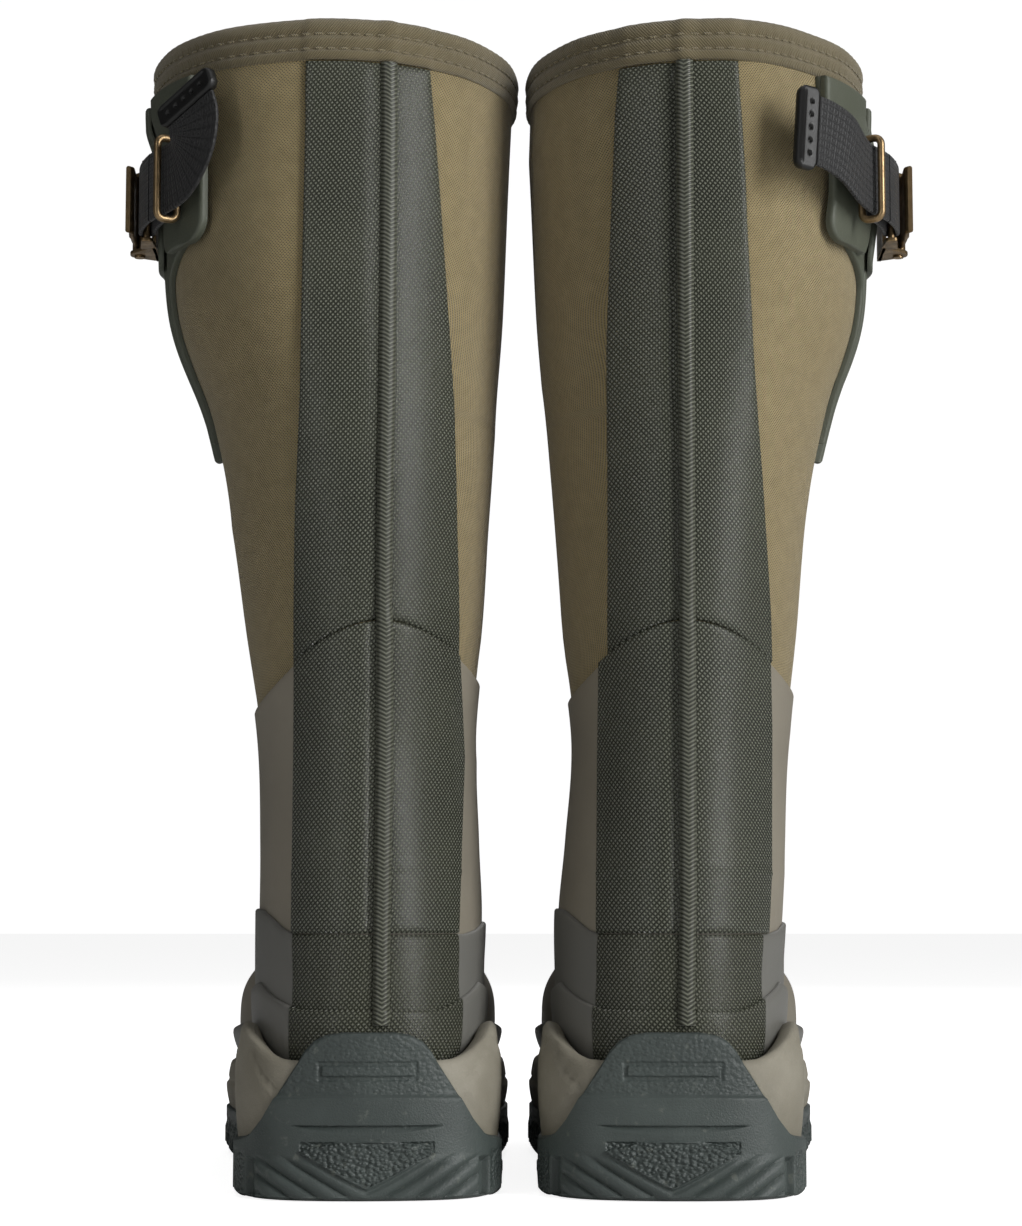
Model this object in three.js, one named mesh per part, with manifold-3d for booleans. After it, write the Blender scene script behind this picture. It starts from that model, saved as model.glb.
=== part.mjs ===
// A pair of tall insulated hunting boots: neoprene legs, rubber feet, lugged soles, and a side
// gusset on each boot that is drawn in by a webbing strap, a cam buckle and a keeper ring.
//
// Each boot is built in its own frame, in millimetres: x points outwards from the wearer, y from
// the back of the heel to the toe, z up. The right boot stands in that frame, the left one is its
// mirror. Every soft layer is a slice between two offsets of one surface, the outside of the
// neoprene, so that the layers nest with a small bonding gap between them.

import * as THREE from "three";
import { mergeVertices } from "three/addons/utils/BufferGeometryUtils.js";
import Module from "manifold-3d";

const wasm = await Module();
wasm.setup();

// ---------------------------------------------------------------- driving dimensions

const GAP = 0.3; // between two pieces that are bonded or sewn together
const FAR = 400; // reach of a cutter that passes right through a boot

const pair = { heelSpacing: 102, toeOut: 2.3 };

const sole = {
  length: 305,
  heelWidth: 92,
  waistWidth: 88,
  ballWidth: 115,
  ballAt: 205,
  outsole: 19, // height of the outsole at its edge
  toeSpring: 14,
  rockerFrom: 150,
  treadDepth: 5.5,
  treadPitch: 21,
  treadGroove: 6,
  archRise: 8,
  archAt: 112,
  archLength: 40,
  edgeTrim: 1.2, // the midsole stands in from the outsole by this much
};

const midsole = { heelBack: 47, heelWing: 58, wingAt: 42, waist: 40, ball: 37, toe: 47 };

const heelTab = { height: 56, topHalf: 19, shoulderHalf: 25.5, footHalf: 45, thickness: 4.5 };

const leg = {
  height: 408,
  topWidth: 126,
  topDepth: 142,
  calfWidth: 118,
  calfDepth: 140,
  shinWidth: 84,
  shinDepth: 115,
  ankleWidth: 74,
  ankleDepth: 108,
  ankleHeight: 150,
  lean: 14, // the top of the leg stands out from the heel by this much
  backLine: 14, // the back of the ankle, forward of the back of the heel
  calfSwell: 7, // the calf stands back from the ankle by this much
};

const foot = { bottom: 30, instepHeight: 118, ballHeight: 80, toeHeight: 62, wall: 6.8 };

// Offsets of the layers from the outside of the neoprene: [inner, outer].
const layer = {
  neoprene: [-4.2, 0],
  lining: [-7, -4.5],
  shell: [0.3, 1.5],
  overlay: [1.8, 3],
  band: [3.3, 4.5],
  gusset: [-3.2, -0.8],
  trim: [0.3, 3.4],
  patch: [3.7, 5.5],
};

const collar = { height: 15.5, outer: 2, inner: -8.6, fold: 1.7 };

const gusset = { length: 137, topWidth: 9, footWidth: 3, topAt: 61, footAt: 76, trimWidth: 11 };

const rear = {
  archTop: 196, // height of the top of the ankle wrap at the spine
  archFall: 13, // how far that edge has fallen at the rear guard's sides
  sideFall: 26, // and at the sides of the leg
  stripWide: 25.5,
  stripNarrow: 17.5,
  stripFlare: 8.5,
  guardHalf: 28.5,
  ribWidth: 5.2,
  ribHeight: 2.2,
  counterTop: 88.5,
  foxingTop: 63,
  counterFront: 92,
};

const strap = { drop: 52, width: 25, thickness: 1.7 };
const buckle = {
  bar: 1.3, // radius of the bar the strap turns round
  angle: 80, // where that bar stands, round the leg
  from: 72, // the back end of the base plate
  length: 23,
  plate: 1.5,
  ear: 10.5,
  pin: 2.6,
  sideGap: 1.2, // between the strap and an ear
  lever: 1.8,
};
const ring = { bar: 2.4, reach: 7.8, angle: 55, clear: 2 };
const tip = { length: 9, over: 2.5, thickness: 4 };
const rivet = { head: 7, height: 1.7 };
const shank = { length: 112, width: 16, thickness: 2, from: 62 };
const board = [1.8, 3.8]; // lasting board, under the foot
const footbed = { thickness: 5.5 };

const colour = {
  outsole: 0x525956,
  midsole: 0x8b8676,
  rubber: 0x4a4c42,
  taupe: 0x77726a,
  tan: 0x8a7e5c,
  lining: 0x6c6a62,
  trim: 0x4d5247,
  webbing: 0x232325,
  brass: 0x8c6f4b,
  board: 0xb09a78,
  steel: 0x9a9da0,
};

function material(name, roughness = 0.8, metalness = 0) {
  return new THREE.MeshStandardMaterial({ color: colour[name], roughness, metalness });
}

// ---------------------------------------------------------------- solids

function solidOf(geometry) {
  const bare = geometry.clone();
  bare.deleteAttribute("normal");
  bare.deleteAttribute("uv");
  const merged = mergeVertices(bare, 1e-4);
  const made = new wasm.Manifold(
    new wasm.Mesh({
      numProp: 3,
      vertProperties: merged.attributes.position.array,
      triVerts: new Uint32Array(merged.index.array),
    }),
  );
  return made;
}

function geometryOf(solid) {
  const mesh = solid.getMesh();
  const places = new Float32Array(mesh.numVert * 3);
  for (let i = 0; i < mesh.numVert; i++) {
    places.set(mesh.vertProperties.subarray(i * mesh.numProp, i * mesh.numProp + 3), i * 3);
  }
  const geometry = new THREE.BufferGeometry();
  geometry.setAttribute("position", new THREE.BufferAttribute(places, 3));
  geometry.setIndex(new THREE.BufferAttribute(mesh.triVerts, 1));
  return geometry;
}

function shapeOf(points) {
  return new THREE.Shape(points.map(([a, b]) => new THREE.Vector2(a, b)));
}

function extruded(shape, depth, curveSegments = 3) {
  return new THREE.ExtrudeGeometry(shape, { depth, bevelEnabled: false, curveSegments });
}

// A prism along x, from a shape drawn in the side view (y, z).
function sidePrism(shape, from = -FAR, to = FAR) {
  const turn = new THREE.Matrix4().makeBasis(
    new THREE.Vector3(0, 1, 0),
    new THREE.Vector3(0, 0, 1),
    new THREE.Vector3(1, 0, 0),
  );
  return solidOf(extruded(shape, to - from).applyMatrix4(turn).translate(from, 0, 0));
}

// A prism along y, from a shape drawn in the back view (x, z).
function backPrism(shape, from, to) {
  return solidOf(extruded(shape, to - from).rotateX(Math.PI / 2).translate(0, to, 0));
}

// A prism along z, from a shape drawn in plan (x, y).
function planPrism(shape, from, to) {
  return solidOf(extruded(shape, to - from).translate(0, 0, from));
}

function box(low, high) {
  const size = high.map((value, i) => value - low[i]);
  const middle = high.map((value, i) => (value + low[i]) / 2);
  return solidOf(new THREE.BoxGeometry(...size).translate(...middle));
}

function post(radius, height, at, sides = 12) {
  const cylinder = new THREE.CylinderGeometry(radius, radius, height, sides);
  return solidOf(cylinder.rotateX(Math.PI / 2).translate(...at));
}

function roundedBox(low, high, radius) {
  const shape = new THREE.Shape();
  shape.moveTo(low[0] + radius, low[1]);
  shape.lineTo(high[0] - radius, low[1]);
  shape.absarc(high[0] - radius, low[1] + radius, radius, -Math.PI / 2, 0);
  shape.lineTo(high[0], high[1] - radius);
  shape.absarc(high[0] - radius, high[1] - radius, radius, 0, Math.PI / 2);
  shape.lineTo(low[0] + radius, high[1]);
  shape.absarc(low[0] + radius, high[1] - radius, radius, Math.PI / 2, Math.PI);
  shape.lineTo(low[0], low[1] + radius);
  shape.absarc(low[0] + radius, low[1] + radius, radius, Math.PI, Math.PI * 1.5);
  return shape;
}

// ---------------------------------------------------------------- the boot's surface

// Places along the foot, forward of the ball, as a share of the way from there to the toe.
const towardsToe = (share) => sole.ballAt + (sole.length - sole.ballAt) * share;
// Heights up the leg, as a share of the way from the ankle to the rim.
const upLeg = (share) => leg.ankleHeight + (leg.height - leg.ankleHeight) * share;

// Each station is a flat section of the surface, from its back or bottom point to its front or top
// point. The sections lie level up the leg and fan round the instep until they stand upright.
function station(back, front, half, shift, square) {
  return { back, front, half, shift, square };
}

function legStation(share, width, depth, swell, lean) {
  const z = upLeg(share);
  const back = leg.backLine - swell;
  return station([back, z], [back + depth, z], width / 2, lean, 0);
}

function stations() {
  const { bottom, instepHeight, ballHeight, toeHeight, wall } = foot;
  const { calfSwell, lean } = leg;
  const instep = leg.backLine + leg.ankleDepth;
  const midWidth = (leg.calfWidth + leg.shinWidth) / 2 + 2;
  const midDepth = (leg.calfDepth + leg.shinDepth) / 2 + 3;
  const heel = sole.heelWidth / 2 - wall - 1;
  const waist = sole.waistWidth / 2 - wall;
  const ball = sole.ballWidth / 2 - wall;
  const vampHeight = (ballHeight + toeHeight) / 2 + 3;
  return [
    legStation(1, leg.topWidth, leg.topDepth, calfSwell, lean),
    legStation(0.83, (leg.topWidth + leg.calfWidth) / 2, leg.topDepth, calfSwell, lean),
    legStation(0.64, leg.calfWidth, leg.calfDepth, calfSwell, lean),
    legStation(0.5, midWidth, midDepth, calfSwell * 0.85, lean * 0.65),
    legStation(0.36, leg.shinWidth + 8, leg.shinDepth + 6, calfSwell * 0.7, lean * 0.35),
    legStation(0.18, leg.shinWidth, leg.shinDepth, calfSwell * 0.4, lean * 0.2),
    station([leg.backLine, leg.ankleHeight], [instep, leg.ankleHeight + 14], leg.ankleWidth / 2, 2.5, 0),
    station([leg.backLine - 2, 105], [instep + 3, 140], heel - 1, 1, 0.05),
    station([9, 68], [instep + 10, instepHeight + 9], heel, 0, 0.1),
    station([10, 42], [instep + 18, instepHeight], heel, 0, 0.15),
    station([26, bottom], [instep + 28, instepHeight - 8], heel, 0, 0.2),
    station([70, bottom - 1], [sole.ballAt * 0.8, 104], (heel + waist) / 2, 0, 0.25),
    station([118, bottom - 1], [sole.ballAt * 0.91, 94], waist + 2, 0.5, 0.28),
    station([sole.ballAt * 0.8, bottom - 1], [towardsToe(0.05), 86], ball - 3, 1.5, 0.28),
    station([sole.ballAt, bottom], [towardsToe(0.27), ballHeight], ball, 2, 0.28),
    station([towardsToe(0.4), bottom + 3], [towardsToe(0.5), vampHeight], ball - 4, 0, 0.25),
    station([towardsToe(0.65), bottom + 7], [towardsToe(0.69), toeHeight + 4], ball - 14, -3, 0.2),
    station([towardsToe(0.82), bottom + 11], [towardsToe(0.84), toeHeight - 3], ball - 26, -5, 0.1),
  ];
}

const COLUMNS = 16;
const ROWS = 17;
const TOE_REACH = 9; // the surface closes this far ahead of its last section

const line = stations();
const through = (points) => new THREE.CatmullRomCurve3(points, false, "catmullrom");
const backLine = through(line.map((s) => new THREE.Vector3(0, ...s.back)));
const frontLine = through(line.map((s) => new THREE.Vector3(0, ...s.front)));
const girth = through(line.map((s) => new THREE.Vector3(s.half, s.shift, s.square)));

// A point of the surface. v runs from the rim, 0, to the toe, 1. u turns round the section, from
// its back, 0, outwards. Each section is an ellipse, squared off by its own exponent.
function surface(u, v) {
  const back = backLine.getPoint(v);
  const front = frontLine.getPoint(v);
  const { x: half, y: shift, z: square } = girth.getPoint(v);
  const power = (value) => Math.sign(value) * Math.abs(value) ** (1 - square);
  const point = back.clone().lerp(front, (1 - power(Math.cos(u))) / 2);
  point.x = shift + half * power(Math.sin(u));
  return point;
}

function normal(u, v) {
  const step = 1e-3;
  const across = surface(u + step, v).sub(surface(u - step, v));
  const low = Math.max(0, v - step);
  const high = Math.min(1, v + step);
  const along = surface(u, high).sub(surface(u, low));
  return along.cross(across).normalize();
}

// The closed solid inside the surface, moved outwards by offset, and carried up past the rim.
const skins = new Map();
function skin(offset) {
  if (skins.has(offset)) return skins.get(offset);
  const rings = [];
  for (let row = 0; row <= ROWS; row++) {
    const v = row / ROWS;
    const ringPoints = [];
    for (let column = 0; column < COLUMNS; column++) {
      // Half a step round, so that no column lies on a squared section's corner.
      const u = ((column + 0.5) / COLUMNS) * Math.PI * 2;
      ringPoints.push(surface(u, v).addScaledVector(normal(u, v), offset));
    }
    rings.push(ringPoints);
  }
  const above = rings[0].map((p) => new THREE.Vector3(p.x, p.y, leg.height + 20));
  rings[0].forEach((p) => (p.z = leg.height));
  rings.unshift(above);
  const places = [];
  rings.flat().forEach((p) => places.push(p.x, p.y, p.z));
  const middle = (points) =>
    points.reduce((sum, p) => sum.add(p), new THREE.Vector3()).divideScalar(points.length);
  const top = middle(rings[0]);
  const end = middle(rings[rings.length - 1]);
  places.push(top.x, top.y, top.z, end.x, end.y + TOE_REACH + offset, end.z);
  const topIndex = rings.length * COLUMNS;
  const last = (rings.length - 1) * COLUMNS;
  const faces = [];
  for (let column = 0; column < COLUMNS; column++) {
    const next = (column + 1) % COLUMNS;
    faces.push(topIndex, column, next);
    faces.push(topIndex + 1, last + next, last + column);
    for (let row = 0; row + 1 < rings.length; row++) {
      const a = row * COLUMNS + column;
      const b = row * COLUMNS + next;
      faces.push(a, a + COLUMNS, b, b, a + COLUMNS, b + COLUMNS);
    }
  }
  const geometry = new THREE.BufferGeometry();
  geometry.setAttribute("position", new THREE.Float32BufferAttribute(places, 3));
  geometry.setIndex(faces);
  const made = solidOf(geometry);
  skins.set(offset, made);
  return made;
}

// What lies between two offsets of the surface.
function slice([inner, outer]) {
  return skin(outer).subtract(skin(inner));
}

// ---------------------------------------------------------------- regions

const rimBottom = leg.height - collar.height;
const belowCollar = box([-FAR, -FAR, -FAR], [FAR, FAR, rimBottom - GAP]);
const legSeam = 128; // where the leg's sleeve is sewn to the foot's sock

// Side view of the line that parts the leg from the foot, sloping down to the front.
function legPart(gapShare) {
  const z = legSeam + gapShare * GAP;
  return sidePrism(shapeOf([[-FAR, z], [FAR, z], [FAR, FAR * 2], [-FAR, FAR * 2]]));
}

// The gusset's opening in side view: a narrow V that leans back as it rises, grown by a margin.
function gussetShape(margin) {
  const foot = leg.height - gusset.length;
  const { topAt, footAt, topWidth, footWidth } = gusset;
  return shapeOf([
    [footAt - footWidth / 2 - margin, foot - margin],
    [footAt + footWidth / 2 + margin, foot - margin],
    [topAt + topWidth / 2 + margin, leg.height],
    [topAt - topWidth / 2 - margin, leg.height],
  ]);
}

const outerSide = (shape) => sidePrism(shape, 25, FAR);

// The top edge of the ankle wrap in the back view: highest at the spine, x, falling to both sides.
function wrapShape(x, bottom, lift = 0) {
  const { archTop, archFall, sideFall, guardHalf } = rear;
  return shapeOf([
    [-FAR, bottom],
    [FAR, bottom],
    [FAR, archTop - sideFall - 8 + lift],
    [x + guardHalf * 1.55, archTop - sideFall + lift],
    [x + guardHalf, archTop - archFall + lift],
    [x + guardHalf * 0.45, archTop - archFall * 0.22 + lift],
    [x, archTop + lift],
    [x - guardHalf * 0.45, archTop - archFall * 0.22 + lift],
    [x - guardHalf, archTop - archFall + lift],
    [x - guardHalf * 1.55, archTop - sideFall + lift],
    [-FAR, archTop - sideFall - 8 + lift],
  ]);
}

// The back half of the boot, behind a line that leans forward as it rises.
function behind(foot, top, rise = 220) {
  return sidePrism(shapeOf([[-FAR, -FAR], [foot, 0], [top, rise], [-FAR, rise + FAR]]));
}

// A band in side view, between two heights that may change along the foot.
function bandPrism(low, high) {
  return sidePrism(shapeOf([...low, ...[...high].reverse()]));
}

// ---------------------------------------------------------------- sole

// The sole's edge in plan, brought in by a margin, through points set by its widths.
function soleOutline(margin = 0) {
  const heel = sole.heelWidth / 2;
  const waist = sole.waistWidth / 2;
  const ball = sole.ballWidth / 2;
  const outer = [
    [0, 0], [heel * 0.66, 6], [heel * 0.97, 27], [heel, 60], [waist + 1, 95], [waist + 4, 135],
    [ball - 1, sole.ballAt * 0.9], [ball + 1.5, towardsToe(0.1)], [ball - 4, towardsToe(0.45)],
    [ball * 0.68, towardsToe(0.77)], [ball * 0.28, towardsToe(0.965)],
  ];
  const inner = [
    [-ball * 0.12, sole.length], [-ball * 0.47, towardsToe(0.93)], [-ball * 0.77, towardsToe(0.71)],
    [-ball * 0.93, towardsToe(0.35)], [-ball * 0.955, sole.ballAt], [-ball * 0.87, sole.ballAt * 0.8],
    [-waist + 1, 125], [-waist, 90], [-heel, 60], [-heel * 0.97, 27], [-heel * 0.66, 6],
  ];
  const corners = [...outer, ...inner].map(([x, y]) => new THREE.Vector3(x, y, 0));
  const edge = new THREE.CatmullRomCurve3(corners, true);
  const samples = 44;
  const points = [];
  for (let i = 0; i < samples; i++) {
    const point = edge.getPoint(i / samples);
    const heading = edge.getTangent(i / samples);
    points.push([point.x - heading.y * margin, point.y + heading.x * margin]);
  }
  return shapeOf(points);
}

// The underside in side view: level under the heel, raised at the arch, rocking up to the toe.
function underside() {
  const points = [[-FAR, 0]];
  const half = sole.archLength / 2;
  points.push([sole.archAt - half, 0], [sole.archAt - half + 8, sole.archRise]);
  points.push([sole.archAt + half - 8, sole.archRise], [sole.archAt + half, 0]);
  const steps = 5;
  const run = sole.length - sole.rockerFrom;
  for (let i = 0; i <= steps; i++) {
    points.push([sole.rockerFrom + (run * i) / steps, sole.toeSpring * (i / steps) ** 1.5]);
  }
  points.push([FAR, sole.toeSpring * 1.6], [FAR, -FAR], [-FAR, -FAR]);
  return sidePrism(shapeOf(points.reverse()));
}

function tabShape(margin = 0) {
  const { height, topHalf, shoulderHalf, footHalf } = heelTab;
  const top = height + margin;
  const half = [
    [footHalf + margin, sole.outsole - 4], [footHalf + margin, sole.outsole + 1],
    [footHalf * 0.84 + margin, sole.outsole + 5], [shoulderHalf + 5 + margin, height - 20],
    [shoulderHalf + margin, height - 10.5], [topHalf + 2 + margin, height - 3.5],
    [topHalf * 0.72 + margin, top - 0.6], [topHalf * 0.3, top],
  ];
  return shapeOf([...half, ...half.map(([x, z]) => [-x, z]).reverse()]);
}

const tabDepth = 30; // the tab reaches this far round the heel before the side walls take over

function heelTabSolid(margin = 0) {
  const wall = planPrism(soleOutline(0), 0, heelTab.height + 5)
    .subtract(planPrism(soleOutline(heelTab.thickness + margin), -1, heelTab.height + 6));
  return wall.intersect(backPrism(tabShape(margin), -5, tabDepth + margin));
}

function makeOutsole() {
  let body = planPrism(soleOutline(0), 0, sole.outsole).subtract(underside());
  for (let y = sole.treadPitch / 2; y < sole.length - 12; y += sole.treadPitch) {
    const inArch = Math.abs(y - sole.archAt) < sole.archLength / 2 + sole.treadGroove;
    if (inArch) continue;
    const rise = sole.toeSpring * Math.max(0, (y - sole.rockerFrom) / (sole.length - sole.rockerFrom)) ** 1.5;
    body = body.subtract(box([-FAR, y, -5], [FAR, y + sole.treadGroove, rise + sole.treadDepth]));
  }
  return body.add(heelTabSolid());
}

function makeMidsole() {
  const { heelBack, heelWing, wingAt, waist, ball, toe } = midsole;
  const bottom = sole.outsole + GAP;
  const top = [
    [-20, heelBack], [6, heelBack], [18, heelBack + 5], [30, heelWing - 2], [wingAt, heelWing],
    [wingAt + 14, heelWing - 3], [wingAt + 40, waist + 6], [118, waist], [sole.ballAt, ball],
    [towardsToe(0.5), ball + 2], [towardsToe(0.82), toe], [sole.length + 20, toe + 2],
  ];
  const floor = [[-20, bottom], [sole.length + 20, bottom]];
  const pocket = shank.thickness + GAP;
  return planPrism(soleOutline(sole.edgeTrim), bottom, heelWing + 5)
    .intersect(bandPrism(floor, top))
    .subtract(skin(layer.band[1] + GAP))
    .subtract(heelTabSolid(GAP))
    .subtract(
      box(
        [-shank.width / 2 - GAP, shank.from - GAP, bottom - 1],
        [shank.width / 2 + GAP, shank.from + shank.length + GAP, bottom + pocket],
      ),
    );
}

function makeShank() {
  const bottom = sole.outsole + GAP;
  return box(
    [-shank.width / 2, shank.from, bottom],
    [shank.width / 2, shank.from + shank.length, bottom + shank.thickness],
  );
}

function makeBoard() {
  const under = box([-FAR, -FAR, -FAR], [FAR, FAR, foot.bottom + 0.6]);
  return slice(board).intersect(under);
}

// ---------------------------------------------------------------- inside

function makeFootbed() {
  const inside = layer.lining[0] - GAP;
  const floor = foot.bottom - inside;
  const top = floor + footbed.thickness;
  const reach = box([-FAR, -FAR, -FAR], [FAR, towardsToe(0.72), top]);
  return skin(inside).intersect(reach);
}

// ---------------------------------------------------------------- upper

// The foxing's top edge: raised round the heel, lower along the foot, and over the toe.
const foxingTop = [
  [-40, rear.foxingTop], [16, rear.foxingTop], [40, rear.foxingTop + 10], [70, rear.foxingTop + 5],
  [118, 56], [sole.ballAt, 50], [towardsToe(0.5), 50], [towardsToe(0.75), 58], [FAR, 60],
];
const below = [[-40, foot.bottom + 2], [FAR, foot.bottom + 2]];

function makeFoxing() {
  const toe = box([-FAR, towardsToe(0.4) - GAP, -FAR], [FAR, FAR, FAR]);
  return slice(layer.band).intersect(bandPrism(below, foxingTop)).subtract(toe);
}

function makeToeCap() {
  const line = towardsToe(0.4);
  const ahead = [[line, -5], [FAR, -5], [FAR, FAR], [line + 26, FAR], [line + 10, 62], [line, 50]];
  const cap = sidePrism(shapeOf(ahead));
  return slice(layer.band).intersect(cap).subtract(box([-FAR, -FAR, -FAR], [FAR, FAR, foot.bottom + 3]));
}

function counterShape(x) {
  const half = 30;
  const z = rear.counterTop;
  return shapeOf([
    [-FAR, foot.bottom + 6], [FAR, foot.bottom + 6], [FAR, z + 26], [x + half + 12, z + 16],
    [x + half + 4, z + 4], [x + half, z], [x - half, z], [x - half - 4, z + 4], [x - half - 12, z + 16],
    [-FAR, z + 26],
  ]);
}

function makeCounter(spine) {
  const region = backPrism(counterShape(spine), -FAR, rear.counterFront)
    .intersect(behind(rear.counterFront, 60, 150));
  return slice(layer.overlay).intersect(region);
}

function makeRearGuard(x) {
  const { guardHalf, counterTop } = rear;
  const width = backPrism(
    shapeOf([[x - guardHalf - 1, 0], [x + guardHalf + 1, 0], [x + guardHalf, FAR], [x - guardHalf, FAR]]),
    -FAR,
    60,
  );
  return slice(layer.overlay)
    .intersect(backPrism(wrapShape(x, counterTop + GAP), -FAR, 60))
    .intersect(width);
}

const WRAP_FRONT = [60, 84]; // the ankle wrap's front edge, at the floor and at 220 mm

function makeAnkleWrap(spine) {
  return slice(layer.shell)
    .intersect(backPrism(wrapShape(spine, foot.bottom + 4, -0.5), -FAR, 110))
    .intersect(behind(...WRAP_FRONT));
}

function makeVamp() {
  const [footLine, topLine] = WRAP_FRONT;
  const rise = 220;
  const shin = 232; // the top of the shin guard, at the front
  const region = sidePrism(
    shapeOf([
      [footLine + GAP * 2, -5], [FAR, -5], [FAR, shin], [leg.backLine + leg.shinDepth - 22, shin],
      [topLine + 8, rise - 38], [footLine + ((topLine - footLine) * 150) / rise + GAP * 2, 150],
    ]),
  );
  return slice(layer.shell).intersect(region);
}

function stripShape(x, wideSide) {
  const { stripWide, stripNarrow, stripFlare, archTop, archFall } = rear;
  const bottom = archTop + GAP;
  const low = archTop - archFall + GAP;
  const wide = [stripWide, stripWide + 2];
  const narrow = [stripNarrow, stripNarrow + stripFlare];
  const [left, right] = wideSide < 0 ? [wide, narrow] : [narrow, wide];
  return shapeOf([
    [x - left[1], low + 1], [x - left[1] * 0.45, bottom - archFall * 0.2], [x, bottom],
    [x + right[1] * 0.45, bottom - archFall * 0.2], [x + right[1], low + 1],
    [x + right[0], rimBottom - GAP], [x - left[0], rimBottom - GAP],
  ]);
}

function makeStrip(spine, wideSide) {
  return slice(layer.shell).intersect(backPrism(stripShape(spine, wideSide), -FAR, 60));
}

// The rib down the spine: it steps out where it passes from the strip to the guard below it.
function makeRib(x) {
  const half = rear.ribWidth / 2;
  const run = (low, high) => box([x - half, -FAR, low], [x + half, 60, high]);
  const onStrip = [layer.shell[1] + GAP, layer.shell[1] + GAP + rear.ribHeight];
  const onGuard = [layer.overlay[1] + GAP, layer.overlay[1] + GAP + rear.ribHeight];
  const upper = slice(onStrip).intersect(run(rear.archTop + 2 * GAP, rimBottom - GAP));
  const lower = slice(onGuard).intersect(run(rear.foxingTop + 1, rear.archTop + 2 * GAP + 1));
  return upper.add(lower);
}

function makeSleeve() {
  return slice(layer.neoprene)
    .intersect(legPart(1))
    .intersect(box([-FAR, -FAR, -FAR], [FAR, FAR, leg.height - collar.fold - GAP]))
    .subtract(outerSide(gussetShape(0)));
}

function makeSock() {
  return slice(layer.neoprene).subtract(legPart(0));
}

function makeLegLining() {
  return slice(layer.lining)
    .intersect(legPart(1))
    .intersect(box([-FAR, -FAR, -FAR], [FAR, FAR, leg.height - collar.fold - GAP]));
}

function makeFootLining() {
  return slice(layer.lining).subtract(legPart(0));
}

function makeCollar() {
  const ringBand = box([-FAR, -FAR, rimBottom], [FAR, FAR, leg.height]);
  const inside = box([-FAR, -FAR, -FAR], [FAR, FAR, leg.height - collar.fold]);
  return slice([collar.inner, collar.outer])
    .intersect(ringBand)
    .subtract(slice([layer.lining[0] - GAP, layer.neoprene[1] + GAP]).intersect(inside));
}

function makeGussetPanel() {
  return slice(layer.gusset)
    .intersect(outerSide(gussetShape(-GAP)))
    .intersect(box([-FAR, -FAR, -FAR], [FAR, FAR, leg.height - collar.fold - GAP]));
}

// The trim runs down the front edge of the gusset's opening.
function makeTrim() {
  const { topAt, footAt, length } = gusset;
  const front = shapeOf([
    [footAt, 0], [FAR, 0], [FAR, FAR * 2], [topAt, FAR * 2], [topAt, leg.height],
    [footAt, leg.height - length],
  ]);
  return slice(layer.trim)
    .intersect(outerSide(gussetShape(gusset.trimWidth)))
    .intersect(sidePrism(front))
    .intersect(belowCollar)
    .subtract(outerSide(gussetShape(0)));
}

const strapMid = leg.height - strap.drop;

function patchShape(rearSide) {
  const edge = rearSide ? gusset.topAt - gusset.topWidth / 2 + 1 : gusset.topAt + gusset.topWidth / 2 + 1;
  const far = edge + (rearSide ? -31 : 40);
  const [low, high] = [Math.min(edge, far), Math.max(edge, far)];
  return roundedBox([low, strapMid - 24], [high, rimBottom - GAP], 7);
}

function makeBucklePatch() {
  return slice(layer.patch).intersect(outerSide(patchShape(false)));
}

// ---------------------------------------------------------------- strap and hardware

// A point that stands off the leg's surface, in plan, at a given height.
function standing(angle, off, z) {
  const v = (leg.height - z) / (leg.height - leg.ankleHeight) * (6 / (line.length - 1));
  const u = THREE.MathUtils.degToRad(angle);
  return surface(u, v).addScaledVector(normal(u, v), off);
}

// Webbing along a path of stations: each has a middle, the direction of its width, and the
// direction out of its face.
function webbing(path, width, thickness) {
  const places = [];
  path.forEach(({ at, wide, out }) => {
    [[-1, -1], [1, -1], [1, 1], [-1, 1]].forEach(([w, t]) => {
      const corner = at.clone().addScaledVector(wide, (w * width) / 2);
      corner.addScaledVector(out, (t * thickness) / 2);
      places.push(corner.x, corner.y, corner.z);
    });
  });
  const last = (path.length - 1) * 4;
  const faces = [0, 2, 1, 0, 3, 2, last, last + 1, last + 2, last, last + 2, last + 3];
  for (let i = 0; i < last; i += 4) {
    for (let side = 0; side < 4; side++) {
      const [a, b] = [i + side, i + ((side + 1) % 4)];
      faces.push(a, b, a + 4, b, b + 4, a + 4);
    }
  }
  const geometry = new THREE.BufferGeometry();
  geometry.setAttribute("position", new THREE.Float32BufferAttribute(places, 3));
  geometry.setIndex(faces);
  const made = solidOf(geometry);
  return made.volume() < 0 ? solidOf(geometry.setIndex(faces.reverse())) : made;
}

// Stations of webbing that stands upright along a plan path.
function upright(points, z) {
  return points.map((point, i) => {
    const before = points[Math.max(0, i - 1)];
    const after = points[Math.min(points.length - 1, i + 1)];
    const heading = new THREE.Vector2(after.x - before.x, after.y - before.y).normalize();
    return {
      at: new THREE.Vector3(point.x, point.y, z),
      wide: new THREE.Vector3(0, 0, 1),
      out: new THREE.Vector3(-heading.y, heading.x, 0),
    };
  });
}

const patchTop = layer.patch[1];
const strapOff = patchTop + 2 * GAP + strap.thickness / 2; // the under run lies on the patches
const turn = buckle.bar + GAP + strap.thickness / 2; // the strap's bend round the buckle's bar
const returnOff = strapOff + 2 * turn; // the return run lies over it
const buckleSide = standing(90, 0, strapMid);
const barAt = standing(buckle.angle, strapOff + turn, strapMid);

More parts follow.
